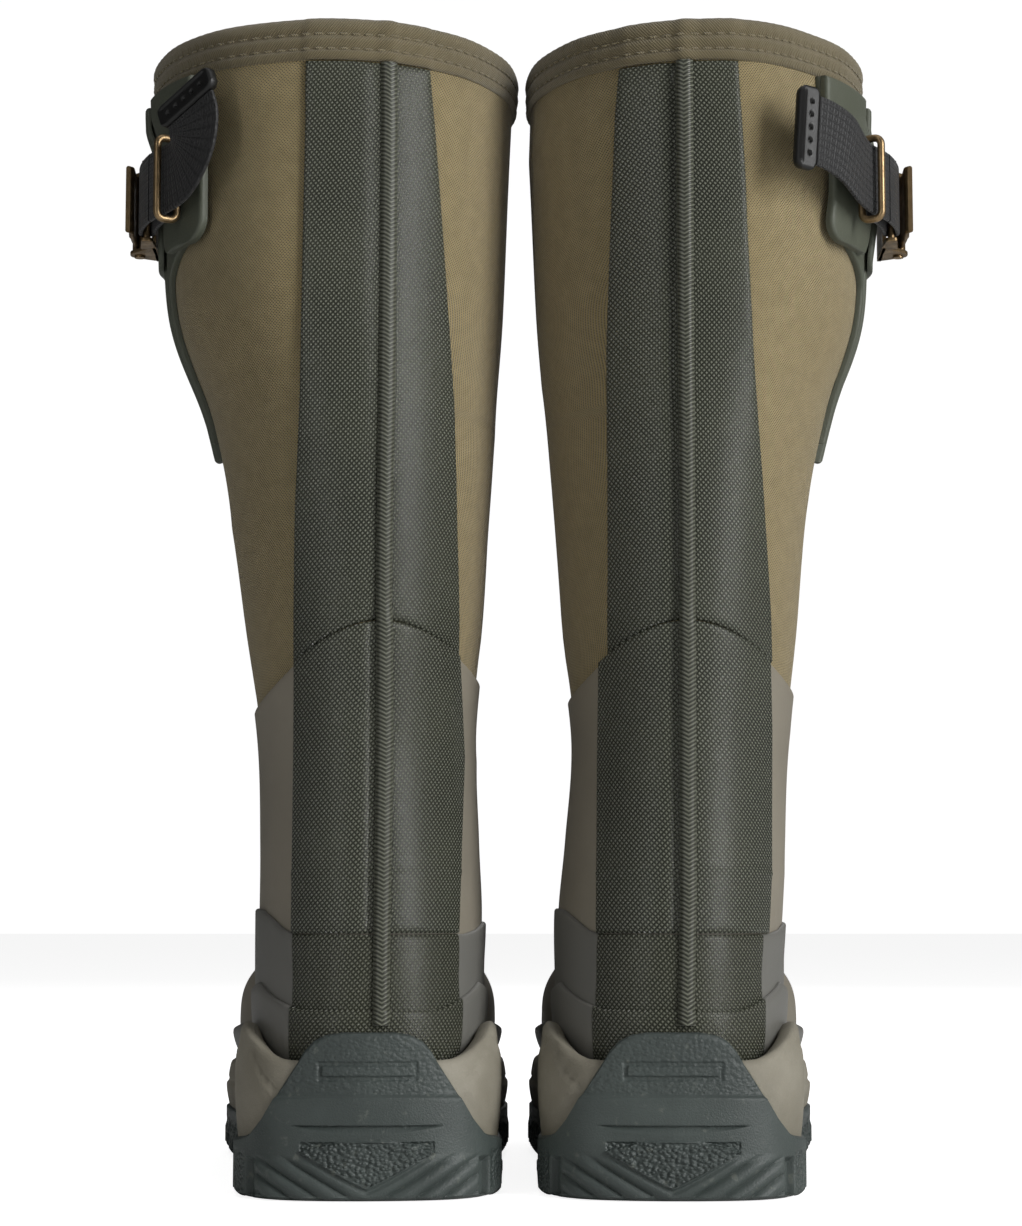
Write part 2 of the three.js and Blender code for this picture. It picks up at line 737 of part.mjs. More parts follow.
// The strap runs forward over the gusset, round the buckle's bar and back towards the ring.
function strapPath() {
  const under = [60, 64, 68, 72, 75].map((angle) => standing(angle, strapOff, strapMid));
  const over = [77, 74, 70, 65.3].map((angle) => standing(angle, returnOff, strapMid));
  const bend = [-70, -35, 0, 35, 70].map((degrees) => {
    const a = THREE.MathUtils.degToRad(degrees);
    return new THREE.Vector2(barAt.x + Math.sin(a) * turn, barAt.y + Math.cos(a) * turn);
  });
  return [...under, ...bend, ...over];
}

const ringRoot = standing(ring.angle, patchTop + GAP + ring.bar / 2, strapMid);
const ringOut = standing(ring.angle, patchTop + GAP + ring.bar / 2 + ring.reach, strapMid);

// The ring's patch, with the tunnel that holds the ring's inner bar.
function makeRingPatch() {
  const tunnel = strap.width / 2 - 2;
  const bore = ring.bar * 0.75; // clears the bar's corners as it turns
  const outer = post(bore + 1, tunnel * 2, [ringRoot.x, ringRoot.y, strapMid]);
  return slice(layer.patch)
    .intersect(outerSide(patchShape(true)))
    .add(outer.subtract(skin(layer.patch[0])))
    .subtract(post(bore, FAR, [ringRoot.x, ringRoot.y, strapMid]).intersect(ringSpace()));
}

// The height of the ring's bar, within which the patch's tunnel is bored.
function ringSpace() {
  const reach = strap.width / 2 + ring.clear + ring.bar + GAP;
  return box([-FAR, -FAR, strapMid - reach], [FAR, FAR, strapMid + reach]);
}

function makeStrap() {
  return webbing(upright(strapPath(), strapMid), strap.width, strap.thickness);
}

// The free tail beyond the ring. Each station is an angle round the leg, a rise, a stand-off and
// the tilt of the webbing's width away from upright.
function tailPath(stations) {
  return stations.map(([angle, rise, off, tilt]) => {
    const foot = standing(angle, 0, strapMid + rise);
    const out = standing(angle, 1, strapMid + rise).sub(foot).normalize();
    const back = new THREE.Vector3(0, 0, 1).cross(out).normalize();
    const up = out.clone().cross(back).normalize();
    const lean = THREE.MathUtils.degToRad(tilt);
    const wide = up.multiplyScalar(Math.cos(lean)).addScaledVector(back, Math.sin(lean));
    const at = foot.addScaledVector(out, off).setZ(strapMid + rise);
    return { at, wide, out };
  });
}

function makeTip(path) {
  const end = path[path.length - 1];
  const { wide, out } = end;
  const along = out.clone().cross(wide).normalize();
  const half = strap.width / 2 + tip.over;
  const plate = extruded(roundedBox([-tip.length / 2, -half], [tip.length / 2, half], 2.5), tip.thickness);
  plate.translate(0, 0, -tip.thickness / 2);
  plate.applyMatrix4(new THREE.Matrix4().makeBasis(along, wide, out.clone().negate()));
  const mid = end.at.clone().addScaledVector(along, tip.length / 2 + GAP);
  return solidOf(plate.translate(mid.x, mid.y, mid.z));
}

// A rectangular wire ring: its inner bar lies on the rear patch, its outer bar keeps the strap.
function makeRing() {
  const inner = strap.width / 2 + ring.clear;
  const outer = inner + ring.bar;
  const reach = ring.reach;
  const shape = roundedBox([-ring.bar / 2, -outer], [reach + ring.bar / 2, outer], 2.2);
  const window = roundedBox([ring.bar / 2, -inner], [reach - ring.bar / 2, inner], 0.8);
  shape.holes.push(new THREE.Path(window.getPoints(2)));
  const heading = Math.atan2(ringOut.y - ringRoot.y, ringOut.x - ringRoot.x);
  const turned = extruded(shape, ring.bar, 3).translate(0, 0, -ring.bar / 2).rotateX(Math.PI / 2);
  turned.rotateZ(heading).translate(ringRoot.x, ringRoot.y, strapMid);
  return solidOf(turned);
}

const earInner = strap.width / 2 + buckle.sideGap; // half the space between the buckle's ears
const earOuter = earInner + buckle.plate;
const plateAt = buckleSide.x + patchTop + GAP; // the back of the buckle's base plate
const pinAt = new THREE.Vector2(plateAt + buckle.ear - 3.4, buckle.from + buckle.length * 0.62);

// A channel: a base plate on the front patch, with a triangular ear above and below the strap.
function makeBuckleFrame() {
  const { from } = buckle;
  const to = from + buckle.length;
  const ear = shapeOf([
    [plateAt, from], [pinAt.x + 3.2, pinAt.y - 2.2], [pinAt.x + 3.2, pinAt.y + 2.2], [plateAt, to],
  ]);
  const base = box([plateAt, from, strapMid - earOuter], [plateAt + buckle.plate, to, strapMid + earOuter]);
  const bar = post(buckle.bar, earOuter * 2, [barAt.x, barAt.y, strapMid]);
  const arm = shapeOf([
    [barAt.x - 2, barAt.y - 2], [barAt.x + 2, barAt.y - 2], [plateAt + 6, from + 4], [plateAt, from + 4],
    [plateAt, from],
  ]);
  let frame = base.add(bar);
  for (const side of [-1, 1]) {
    const low = side < 0 ? strapMid - earOuter : strapMid + earInner;
    frame = frame.add(planPrism(ear, low, low + buckle.plate)).add(planPrism(arm, low, low + buckle.plate));
  }
  return frame.subtract(post(buckle.pin / 2 + 0.1, earOuter * 4, [pinAt.x, pinAt.y, strapMid]));
}

function makePin() {
  return post(buckle.pin / 2 - 0.05, earOuter * 2 + 1.2, [pinAt.x, pinAt.y, strapMid]);
}

// The cam lever: a hub round the pin and a plate that lies back over the strap.
function makeLever() {
  const half = earInner - 0.6;
  const reach = 24;
  const hub = post(buckle.pin / 2 + 1.5, half * 2, [pinAt.x, pinAt.y, strapMid], 16);
  const tipX = barAt.x + turn + strap.thickness / 2 + 1.2;
  const plate = shapeOf([
    [pinAt.x - 0.4, pinAt.y], [pinAt.x + buckle.lever, pinAt.y], [tipX + buckle.lever, pinAt.y - reach],
    [tipX + buckle.lever + 1.4, pinAt.y - reach - 1.6], [tipX - 0.2, pinAt.y - reach - 1.6],
    [tipX - 0.4, pinAt.y - reach],
  ]);
  return hub
    .add(planPrism(plate, strapMid - half, strapMid + half))
    .subtract(post(buckle.pin / 2 + 0.1, half * 4, [pinAt.x, pinAt.y, strapMid]));
}

// The domed head of the rivet that holds the buckle's base plate to its patch.
function makeRivet() {
  const radius = rivet.head / 2;
  const profile = [[0, 0], [radius, 0], [radius, 0.7], [radius / 2, rivet.height], [0, rivet.height]];
  const dome = new THREE.LatheGeometry(profile.map(([r, h]) => new THREE.Vector2(r, h)), 12);
  dome.rotateZ(-Math.PI / 2);
  return solidOf(dome.translate(plateAt + buckle.plate + GAP, buckle.from + 6, strapMid));
}

// ---------------------------------------------------------------- the pair

function boot(side) {
  const group = new THREE.Group();
  const add = (name, solid, finish) => {
    const mesh = new THREE.Mesh(geometryOf(solid), finish);
    mesh.name = `${side.name}_${name}`;
    group.add(mesh);
  };
  const tail = tailPath(side.tail);
  add("outsole", makeOutsole(), material("outsole"));
  add("midsole", makeMidsole(), material("midsole"));
  add("shank", makeShank(), material("steel", 0.4, 1));
  add("lasting_board", makeBoard(), material("board"));
  add("footbed", makeFootbed(), material("lining"));
  add("foot_sock", makeSock(), material("tan"));
  add("leg_sleeve", makeSleeve(), material("tan"));
  add("foot_lining", makeFootLining(), material("lining"));
  add("leg_lining", makeLegLining(), material("lining"));
  add("vamp", makeVamp(), material("rubber"));
  add("toe_cap", makeToeCap(), material("rubber"));
  add("foxing_band", makeFoxing(), material("rubber"));
  add("ankle_wrap", makeAnkleWrap(side.spine), material("taupe"));
  add("heel_counter", makeCounter(side.spine), material("rubber"));
  add("rear_guard", makeRearGuard(side.spine), material("rubber", 0.5));
  add("calf_strip", makeStrip(side.spine, side.wide), material("rubber", 0.5));
  add("spine_rib", makeRib(side.spine), material("rubber", 0.5));
  add("collar_binding", makeCollar(), material("tan"));
  add("gusset_panel", makeGussetPanel(), material("webbing"));
  add("gusset_trim", makeTrim(), material("trim"));
  add("ring_patch", makeRingPatch(), material("trim"));
  add("buckle_patch", makeBucklePatch(), material("trim"));
  add("strap", makeStrap(), material("webbing"));
  add("strap_tail", webbing(tail, strap.width, strap.thickness), material("webbing"));
  add("strap_tip", makeTip(tail), material("webbing", 0.4));

  add("keeper_ring", makeRing(), material("brass", 0.35, 1));
  add("buckle_frame", makeBuckleFrame(), material("brass", 0.35, 1));
  add("buckle_lever", makeLever(), material("brass", 0.35, 1));
  add("buckle_rivet", makeRivet(), material("brass", 0.35, 1));
  add("lever_pin", makePin(), material("brass", 0.35, 1));
  group.scale.x = side.hand;
  group.position.x = (side.hand * pair.heelSpacing) / 2;
  group.rotation.z = THREE.MathUtils.degToRad(-side.hand * pair.toeOut);
  return group;
}

// The spine and the broad side of the calf strip lie the same way on both boots, not mirrored.
// One tail is folded upwards behind its ring, the other lies back round the leg.
const left = {
  name: "left",
  hand: -1,
  spine: -4,
  wide: 1,
  tail: [
    [65, 0, 11.6, 0], [60, 0, 11.4, 0], [55, 0, 11.2, 2], [49.1, 0.9, 11.4, 20], [45.6, 3.5, 11.8, 40],
    [43.1, 7.5, 12.2, 60], [41.7, 12.4, 12.6, 80], [41.6, 16.3, 13, 92],
  ],
};
const right = {
  name: "right",
  hand: 1,
  spine: 4,
  wide: -1,
  tail: [
    [65, 0, 11.6, 0], [60, 0.1, 11.4, 1], [55, 0.5, 11.2, 4], [48, 3.2, 12.2, 17], [41, 7.2, 13.4, 23],
    [34, 11.5, 14.6, 26],
  ],
};
const boots = new THREE.Group();
boots.add(boot(left), boot(right));

// The pair's frame: its origin is the middle of its footprint, on the ground.
boots.updateMatrixWorld(true);
const bounds = new THREE.Box3().setFromObject(boots, true);
const middle = bounds.getCenter(new THREE.Vector3());
boots.position.set(-middle.x, -middle.y, -bounds.min.z);

export default boots;
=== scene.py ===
from math import cos, pi, radians, sin

import bmesh
import bpy
import numpy as np
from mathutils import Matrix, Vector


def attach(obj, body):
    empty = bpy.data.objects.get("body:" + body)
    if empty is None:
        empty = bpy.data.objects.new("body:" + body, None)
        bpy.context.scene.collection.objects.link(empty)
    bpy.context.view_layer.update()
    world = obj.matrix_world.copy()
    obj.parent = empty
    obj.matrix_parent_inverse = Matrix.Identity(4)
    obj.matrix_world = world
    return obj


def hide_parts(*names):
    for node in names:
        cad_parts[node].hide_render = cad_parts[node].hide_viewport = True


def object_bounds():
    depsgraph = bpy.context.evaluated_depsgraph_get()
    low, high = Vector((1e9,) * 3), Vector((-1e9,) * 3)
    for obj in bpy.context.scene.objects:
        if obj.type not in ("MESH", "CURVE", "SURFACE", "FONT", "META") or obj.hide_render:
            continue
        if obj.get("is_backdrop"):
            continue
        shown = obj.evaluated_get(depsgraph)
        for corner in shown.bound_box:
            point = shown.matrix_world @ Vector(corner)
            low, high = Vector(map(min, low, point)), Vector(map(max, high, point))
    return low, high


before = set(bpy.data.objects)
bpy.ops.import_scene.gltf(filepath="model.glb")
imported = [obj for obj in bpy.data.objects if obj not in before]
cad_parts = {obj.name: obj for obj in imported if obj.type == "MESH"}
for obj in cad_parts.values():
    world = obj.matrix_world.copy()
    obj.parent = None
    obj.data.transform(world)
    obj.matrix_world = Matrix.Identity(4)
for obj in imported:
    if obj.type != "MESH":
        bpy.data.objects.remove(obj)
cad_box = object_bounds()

# ---------------------------------------------------------------- lining
# The lining is a napped textile sock that covers the inside of leg and foot. It is pulled over
# the last first, and every other layer is built up on it.

# The last, from the rim down to the toe: back y and z, front y and z, half width, lean, squareness.
LAST = np.array([
    (7, 408, 149, 408, 63, 14, 0), (7, 364.1, 149, 364.1, 61, 14, 0),
    (7, 315.1, 147, 315.1, 59, 14, 0), (8.05, 279, 138.55, 279, 51.5, 9.1, 0),
    (9.1, 242.9, 130.1, 242.9, 46, 4.9, 0), (11.2, 196.4, 126.2, 196.4, 42, 2.8, 0),
    (14, 150, 122, 164, 37, 2.5, 0), (12, 105, 125, 140, 37.2, 1, .05),
    (9, 68, 132, 127, 38.2, 0, .1), (10, 42, 140, 118, 38.2, 0, .15),
    (26, 30, 150, 110, 38.2, 0, .2), (70, 29, 164, 104, 37.7, 0, .25),
    (118, 29, 186.55, 94, 39.2, .5, .28), (164, 29, 210, 86, 47.7, 1.5, .28),
    (205, 30, 232, 80, 50.7, 2, .28), (245, 33, 255, 74, 46.7, 0, .25),
    (270, 37, 274, 66, 36.7, -3, .2), (287, 41, 289, 59, 24.7, -5, .1),
])
RIM, TOE = 408.0, len(LAST) - 1


def spline(table, i, f):
    """Catmull-Rom points a share f of the way from row i + 1 to row i + 2 of a table."""
    a, b, c, d = (table[(i + k) % len(table)] for k in range(4))
    return b + .5 * ((c - a) * f + (2 * a - 5 * b + 4 * c - d) * f**2 + (3 * b - a - 3 * c + d) * f**3)


def last_rows(v):
    """Measures v stations below the rim: a Catmull-Rom spline through LAST. Past the last
    station, each section shrinks to its middle by the cosine of a quarter turn."""
    table = np.vstack([2 * LAST[0] - LAST[1], LAST, 2 * LAST[-1] - LAST[-2]])
    inside = np.clip(v, 0, TOE)
    i = np.minimum(inside.astype(int), TOE - 1)
    f = (inside - i)[..., None]
    rows = spline(table, i, f)
    turn = np.clip(v - TOE, 0, 1)[..., None] * pi / 2
    middle = (rows[..., 0:2] + rows[..., 2:4]) / 2
    rows[..., 0:2] = middle + (rows[..., 0:2] - middle) * np.cos(turn)
    rows[..., 2:4] = middle + (rows[..., 2:4] - middle) * np.cos(turn)
    rows[..., 4:5] *= np.cos(turn)
    rows[..., [0, 2]] += 9 * np.sin(turn)
    return rows


def last_point(u, v):
    """A point of the last: a squared ellipse between the section's back and front points,
    x = lean + half * pow(sin u) and the way forward is (1 - pow(cos u)) / 2."""
    back_y, back_z, front_y, front_z, half, lean, square = np.moveaxis(last_rows(v), -1, 0)
    squared = lambda a: np.sign(a) * np.abs(a) ** (1 - square)
    way = (1 - squared(np.cos(u))) / 2
    return np.stack([lean + half * squared(np.sin(u)), back_y + (front_y - back_y) * way,
                     back_z + (front_z - back_z) * way], -1)


def on_last(u, v, off):
    """The last's point moved out by off along the cross product of its two tangents."""
    u, v = np.broadcast_arrays(np.asarray(u, float), np.asarray(v, float))
    du, dv = 2e-3, 4e-3
    low, high = np.maximum(v - dv, 0), np.minimum(v + dv, TOE + 1)
    round_it = last_point(u + du, v) - last_point(u - du, v)
    down_it = last_point(u, high) - last_point(u, low)
    out = np.cross(down_it, round_it)
    out[v > TOE + .97] = (0, 1, 0)
    out /= np.maximum(np.linalg.norm(out, axis=-1, keepdims=True), 1e-9)
    return last_point(u, v) + out * np.asarray(off, float)[..., None]


def lay(points, uv, around=False):
    """Quads over a grid of points, each corner with its place in the pattern; a grid that goes
    around joins its last column to its first."""
    rows, columns = points.shape[:2]
    index = np.arange(rows * columns).reshape(rows, columns)
    if around:
        index = np.hstack([index, index[:, :1]])
    corners = lambda t: np.stack([t[:-1, :-1], t[:-1, 1:], t[1:, 1:], t[1:, :-1]], 2)
    faces = corners(index).reshape(-1, 4)
    return points.reshape(-1, 3), faces, corners(uv[:, :index.shape[1]]).reshape(-1, 4, 2)


def mesh_of(name, points, parts_faces, parts_uv, crease):
    """Welds points that coincide, drops corners that fall together, and fills a mesh."""
    keys, first, welded = np.unique(np.round(points * 1e4).astype(np.int64), axis=0,
                                    return_index=True, return_inverse=True)
    faces = welded.reshape(-1)[parts_faces]
    kept = faces != np.roll(faces, 1, axis=1)
    kept &= (kept.sum(1) > 2)[:, None]
    live = kept.any(1)
    faces, kept, corner_uv = faces[live], kept[live], parts_uv[live]
    totals = kept.sum(1)
    mesh = bpy.data.meshes.new(name)
    mesh.vertices.add(len(first))
    mesh.vertices.foreach_set("co", (points[first] / 1000).astype(np.float32).ravel())
    mesh.loops.add(int(totals.sum()))
    mesh.loops.foreach_set("vertex_index", faces[kept].astype(np.int32))
    mesh.polygons.add(len(faces))
    mesh.polygons.foreach_set("loop_start", (np.cumsum(totals) - totals).astype(np.int32))
    mesh.uv_layers.new(name="cloth").data.foreach_set(
        "uv", (corner_uv[kept] / 1000).astype(np.float32).ravel())
    mesh.update(calc_edges=True)
    mesh.validate()
    work = bmesh.new()
    work.from_mesh(mesh)
    bmesh.ops.recalc_face_normals(work, faces=work.faces)
    work.to_mesh(mesh)
    work.free()
    mesh.polygons.foreach_set("use_smooth", np.ones(len(mesh.polygons), bool))
    mesh.set_sharp_from_angle(angle=radians(crease))
    return mesh


# Each boot's heel stands this far to the side of the pair's middle and behind it, in mm.
HEEL_SPACING, HEEL_BEHIND, TOE_OUT = 51.0, 150.31, radians(2.3)

# How each worn-in leg has settled, in mm outwards at heights up the leg: outer side, inner side
# and, in the second table, the middle of the leg.
SETTLED = {
    -1: ((0, 130, 170, 215, 235, 275, 372, 384, 409), (0, 0, 0, 1, 1.5, -1, 0, 3.6, 3.6),
         (0, 80, 120, 150, 185, 230, 270, 409), (0, 0, -1.5, -2.6, -.6, -1.5, -3.0, -3.2)),
    1: ((0, 80, 110, 160, 200, 245, 290, 335, 350, 370, 384, 409),
        (0, 0, 2.2, 3.0, 2.0, .5, -2.4, -3.0, -1.0, -1.0, -4.2, -4.4),
        (0, 100, 180, 215, 250, 290, 375, 400, 409), (0, 0, 1.5, 1.0, -.5, -2.6, -3.0, -1, -1)),
}
SETTLED_MIDDLE = {-1: ((0, 100, 300, 408), (0, -.2, -.6, -.9)),
                  1: ((0, 60, 100, 200, 300, 408), (0, .5, 1.5, 2.2, 2.8, 3.4))}


def settle(points, hand):
    """Shifts a leg's sides and middle by the settled amounts, blending across it."""
    z_out, out, z_in, inn = SETTLED[hand]
    middle = np.interp(points[:, 2], [0, 196, 300, 408], [0, 3, 10, 14])
    share = np.clip((points[:, 0] - middle) / 90 + .5, 0, 1)
    share = share * share * (3 - 2 * share)
    sides = (np.interp(points[:, 2], z_out, out) * share
             + np.interp(points[:, 2], z_in, inn) * (1 - share))
    central = 4 * share * (1 - share)
    shift = sides * (1 - central) + np.interp(points[:, 2], *SETTLED_MIDDLE[hand]) * central
    return points + np.stack([shift, 0 * shift, 0 * shift], 1)


def stand(points, hand):
    """From a boot's own millimetres to the pair's: turned out by the toe angle, moved to its
    side, and mirrored for the left boot."""
    x = hand * (HEEL_SPACING + points[:, 0] * cos(TOE_OUT) + points[:, 1] * sin(TOE_OUT))
    y = points[:, 1] * cos(TOE_OUT) - points[:, 0] * sin(TOE_OUT) - HEEL_BEHIND
    return np.stack([x, y, points[:, 2]], 1)


def piece(name, hand, parts, finish, nodes, body="boot", crease=38, settled=True):
    """Makes one finished piece from its grids, ties it to its body and hides the parts of its nodes."""
    side = "left" if hand < 0 else "right"
    starts = np.cumsum([0] + [len(p[0]) for p in parts])
    points = np.vstack([p[0] for p in parts])
    points = stand(settle(points, hand) if settled else points, hand)
    faces = np.vstack([p[1] + start for p, start in zip(parts, starts)])
    mesh = mesh_of(name, points, faces, np.vstack([p[2] for p in parts]), crease)
    made = bpy.data.objects.new(f"{side}_{name}", mesh)
    bpy.context.scene.collection.objects.link(made)
    mesh.materials.append(finish)
    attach(made, f"{side}_{body}")
    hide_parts(*[f"{side}_{node}" for node in nodes])
    return made


def girths(points):
    """Running length along each row of a grid, from its first column."""
    steps = np.linalg.norm(np.diff(points, axis=1), axis=-1)
    return np.hstack([np.zeros((len(points), 1)), np.cumsum(steps, axis=1)])


def walled(u, v, low, high, lift=0.0):
    """A boot-shaped wall: an outer and an inner skin of the last, joined along the rim. The
    toe's last ring falls together in one point."""
    u, v = np.broadcast_arrays(u, v)
    ends = lambda p: np.concatenate([p, p[:, :1]], 1)
    outer, inner = on_last(u, v, high + lift * np.ones_like(u)), on_last(u, v, low * np.ones_like(u))
    outer[-1], inner[-1] = outer[-1].mean(0), inner[-1].mean(0)
    across = girths(ends(outer))
    down = -girths(np.swapaxes(ends(outer), 0, 1)[:1]).T * np.ones_like(across)
    uv = np.stack([across, down], -1)
    rim = np.stack([outer[0], (outer[0] + inner[0]) / 2 + (0, 0, .8), inner[0]])
    return [lay(outer, uv, True), lay(inner, uv, True), lay(rim, uv[:3], True)]


class Wire:
    """A socket of a finish; arithmetic between wires and numbers adds Math nodes."""

    def __init__(self, tree, socket=None):
        self.tree, self.socket = tree, socket

    def node(self, kind, settings, inputs, output=0):
        """Adds a node: its settings first, then the values or links of its sockets."""
        made = self.tree.nodes.new("ShaderNode" + kind)
        for key, value in settings.items():
            setattr(made, key, value)
        for key, value in inputs.items():
            if isinstance(value, Wire):
                self.tree.links.new(value.socket, made.inputs[key])
            else:
                made.inputs[key].default_value = value
        return Wire(self.tree, made.outputs[output])

    def maths(self, operation, *values):
        return self.node("Math", {"operation": operation}, dict(enumerate(values)))

    def __add__(self, other): return self.maths("ADD", self, other)
    def __radd__(self, other): return self.maths("ADD", other, self)
    def __sub__(self, other): return self.maths("SUBTRACT", self, other)
    def __rsub__(self, other): return self.maths("SUBTRACT", other, self)
    def __mul__(self, other): return self.maths("MULTIPLY", self, other)
    def __rmul__(self, other): return self.maths("MULTIPLY", other, self)
    def __truediv__(self, other): return self.maths("DIVIDE", self, other)
    def __abs__(self): return self.maths("ABSOLUTE", self)

    def sharpened(self, low, high):
        """0 below low, 1 above high, and a smooth step between."""
        return self.node("MapRange", {"interpolation_type": "SMOOTHSTEP"},
                         {0: self, 1: low, 2: high, 3: 0.0, 4: 1.0})

    def cell(self):
        """How far a running value is from the middle of its cell, 0 to a half."""
        return abs(self.maths("FRACT", self) - .5)

    def lattice(self, other, tall, wide):
        """Distance to the nearest point of a lattice whose rows are shifted by half a cell."""
        one = self.cell() * tall + other.cell() * wide
        two = (self + .5).cell() * tall + (other + .5).cell() * wide
        return one.maths("MINIMUM", one, two)

    def blended(self, first, second):
        """The first colour where this wire is 0, the second where it is 1."""
        return self.node("Mix", {"data_type": "RGBA"}, {0: self, 6: first, 7: second}, 2)

    def cloudy(self, place, scale, detail=3.0, rough=.55):
        """Noise of a given scale, per metre, at a place."""
        return self.node("TexNoise", {}, {"Vector": place, "Scale": scale, "Detail": detail,
                                          "Roughness": rough})


def shade(red, green, blue, alpha=1.0):
    """A colour given as it looks on a screen, 0 to 255, turned to linear light."""
    light = (np.array([red, green, blue]) / 255.0) ** 2.2
    return (*light.tolist(), alpha)


def finish(name, paint):
    """A finish: paint(wire) gives the shader's sockets their values and wires. A height wire
    goes through a Bump node of the given depth, in metres."""
    made = bpy.data.materials.new(name)
    made.use_nodes = True
    tree = made.node_tree
    shader = tree.nodes["Principled BSDF"]
    wire = Wire(tree)
    sockets = paint(wire)
    height, depth = sockets.pop("height", None), sockets.pop("depth", .0003)
    if height is not None:
        sockets["Normal"] = wire.node("Bump", {}, {"Height": height, "Distance": depth,
                                                   "Strength": 1.0})
    for key, value in sockets.items():
        if isinstance(value, Wire):
            tree.links.new(value.socket, shader.inputs[key])
        else:
            shader.inputs[key].default_value = value
    return made


def cloth_place(wire):
    """The piece's own pattern place, in metres across and up."""
    return wire.node("UVMap", {"uv_map": "cloth"}, {})


def across_up(wire, place):
    """The across and up parts of a place, as two wires."""
    return (wire.node("SeparateXYZ", {}, {0: place}, 0), wire.node("SeparateXYZ", {}, {0: place}, 1))


def napped(wire):
    place = wire.node("TexCoord", {}, {}, 3)
    tuft = wire.cloudy(place, 1400.0, 4.0, .7)
    patch = wire.cloudy(place, 60.0)
    colour = (tuft * .6 + patch * .4).blended(shade(58, 58, 54), shade(104, 102, 95))
    return {"Base Color": colour, "Roughness": .95, "Sheen Weight": .35, "Sheen Roughness": .6,
            "height": tuft, "depth": .0006}


LINING = finish("lining", napped)
around = np.linspace(0, 2 * pi, 73)[:-1]
down_leg = np.concatenate([np.linspace(.046, 16.9, 96), TOE + np.sin(np.linspace(0, pi / 2, 9))])
for hand in (-1, 1):
    piece("lining", hand, walled(around[None], down_leg[:, None], -7.0, -4.5), LINING,
          ["leg_lining", "foot_lining"])

# ---------------------------------------------------------------- neoprene leg and sock
# The insulated leg and sock are 4 mm neoprene faced with a tight tan knit, glued and stitched
# into one boot. A narrow V is cut out of the outer side of the leg for the gusset.

SLOT_FOOT, SLOT_LENGTH = 271.0, 137.0


def slot_edge(z, front):
    """y of the gusset slot's rear or front edge: straight lines that lean back and part as
    they rise."""
    share = np.clip((np.asarray(z, float) - SLOT_FOOT) / SLOT_LENGTH, 0, 1)
    return 76 - 15 * share + (1 if front else -1) * (1.5 + 3 * share)


def angle_at(y, v):
    """The angle round a leg section at which its y is the given one."""
    rows = last_rows(np.minimum(v, 6.0))
    return np.arccos(np.clip(1 - 2 * (y - rows[..., 0]) / (rows[..., 2] - rows[..., 0]), -1, 1))


def knit(wire):
    """Rows of tiny loops, 0.85 mm apart and shifted by half from row to row, over soft mottling."""
    place = cloth_place(wire)
    a, b = across_up(wire, place)
    a, b = a * 840.0 + b * 120.0, b * 840.0
    hole = 1 - a.lattice(b, 1.2, 1.6).sharpened(.14, .5)
    mottle = wire.cloudy(place, 160.0, 5.0, .7)
    fibre = wire.cloudy(place, 2600.0, 2.0)
    base = mottle.sharpened(.3, .7).blended(shade(151, 135, 94), shade(164, 147, 105))
    colour = (hole * 1.0 + fibre * .1).blended(base, shade(40, 33, 18))
    return {"Base Color": colour, "Roughness": .86, "Sheen Weight": .22, "Sheen Roughness": .45,
            "height": fibre * .25 - hole, "depth": .0006}


KNIT = finish("tan_knit", knit)
sleeve_down = np.concatenate([np.linspace(.046, 4.2, 110), np.linspace(4.3, 16.9, 70),
                              TOE + np.sin(np.linspace(0, pi / 2, 7))])
sleeve_z = np.interp(sleeve_down, np.arange(7), LAST[:7, 1])
for hand in (-1, 1):
    rear_angle = angle_at(slot_edge(sleeve_z, False), sleeve_down)
    front_angle = angle_at(slot_edge(sleeve_z, True), sleeve_down)
    marks = [np.zeros_like(rear_angle), rear_angle - .004, rear_angle + .004,
             front_angle - .004, front_angle + .004, np.full_like(rear_angle, 2 * pi)]
    counts = [30, 1, 4, 1, 74]
    columns = [m0[:, None] + (m1 - m0)[:, None] * np.arange(n)[None] / n
               for m0, m1, n in zip(marks[:-1], marks[1:], counts)]
    u = np.hstack(columns)
    sunk = np.zeros(u.shape[1])
    sunk[31:36] = 1
    fade = np.clip((sleeve_z - SLOT_FOOT + 2) / 4, 0, 1)
    piece("neoprene", hand,
          walled(u, sleeve_down[:, None], -4.2, 0.0, -3.5 * fade[:, None] * sunk[None]),
          KNIT, ["leg_sleeve", "foot_sock"])

# ---------------------------------------------------------------- gusset panel
# Stretch fabric behind the slot lets the leg open. It is folded inwards once down its middle
# and sewn to the neoprene's two edges.

def quarter(gap, radius):
    """Height of a quarter circle, as a share of its radius, at a gap from its foot."""
    return np.sqrt(np.maximum(1 - (1 - np.clip(gap / radius, 0, 1)) ** 2, 0))


def slab(u, v, low, high, uv, roll=1.0, lift=0.0):
    """A closed strip of a layer: the outer face rolls down to the edges on a quarter circle,
    offset = high - r (1 - sqrt(1 - (1 - d/r)^2)), the inner face lies flat at low."""
    across = np.linalg.norm(np.diff(uv, axis=1), axis=-1)
    upward = np.linalg.norm(np.diff(uv, axis=0), axis=-1)
    run_x = np.hstack([np.zeros((len(u), 1)), np.cumsum(across, 1)])
    run_y = np.vstack([np.zeros((1, u.shape[1])), np.cumsum(upward, 0)])
    edge = np.minimum.reduce([run_x, run_x[:, -1:] - run_x, run_y, run_y[-1:] - run_y])
    r = min(roll, high - low)
    drop = r * (1 - quarter(edge, r))
    outer, inner = on_last(u, v, high - drop + lift), on_last(u, v, low + 0 * u)
    return shut(outer, inner, uv)


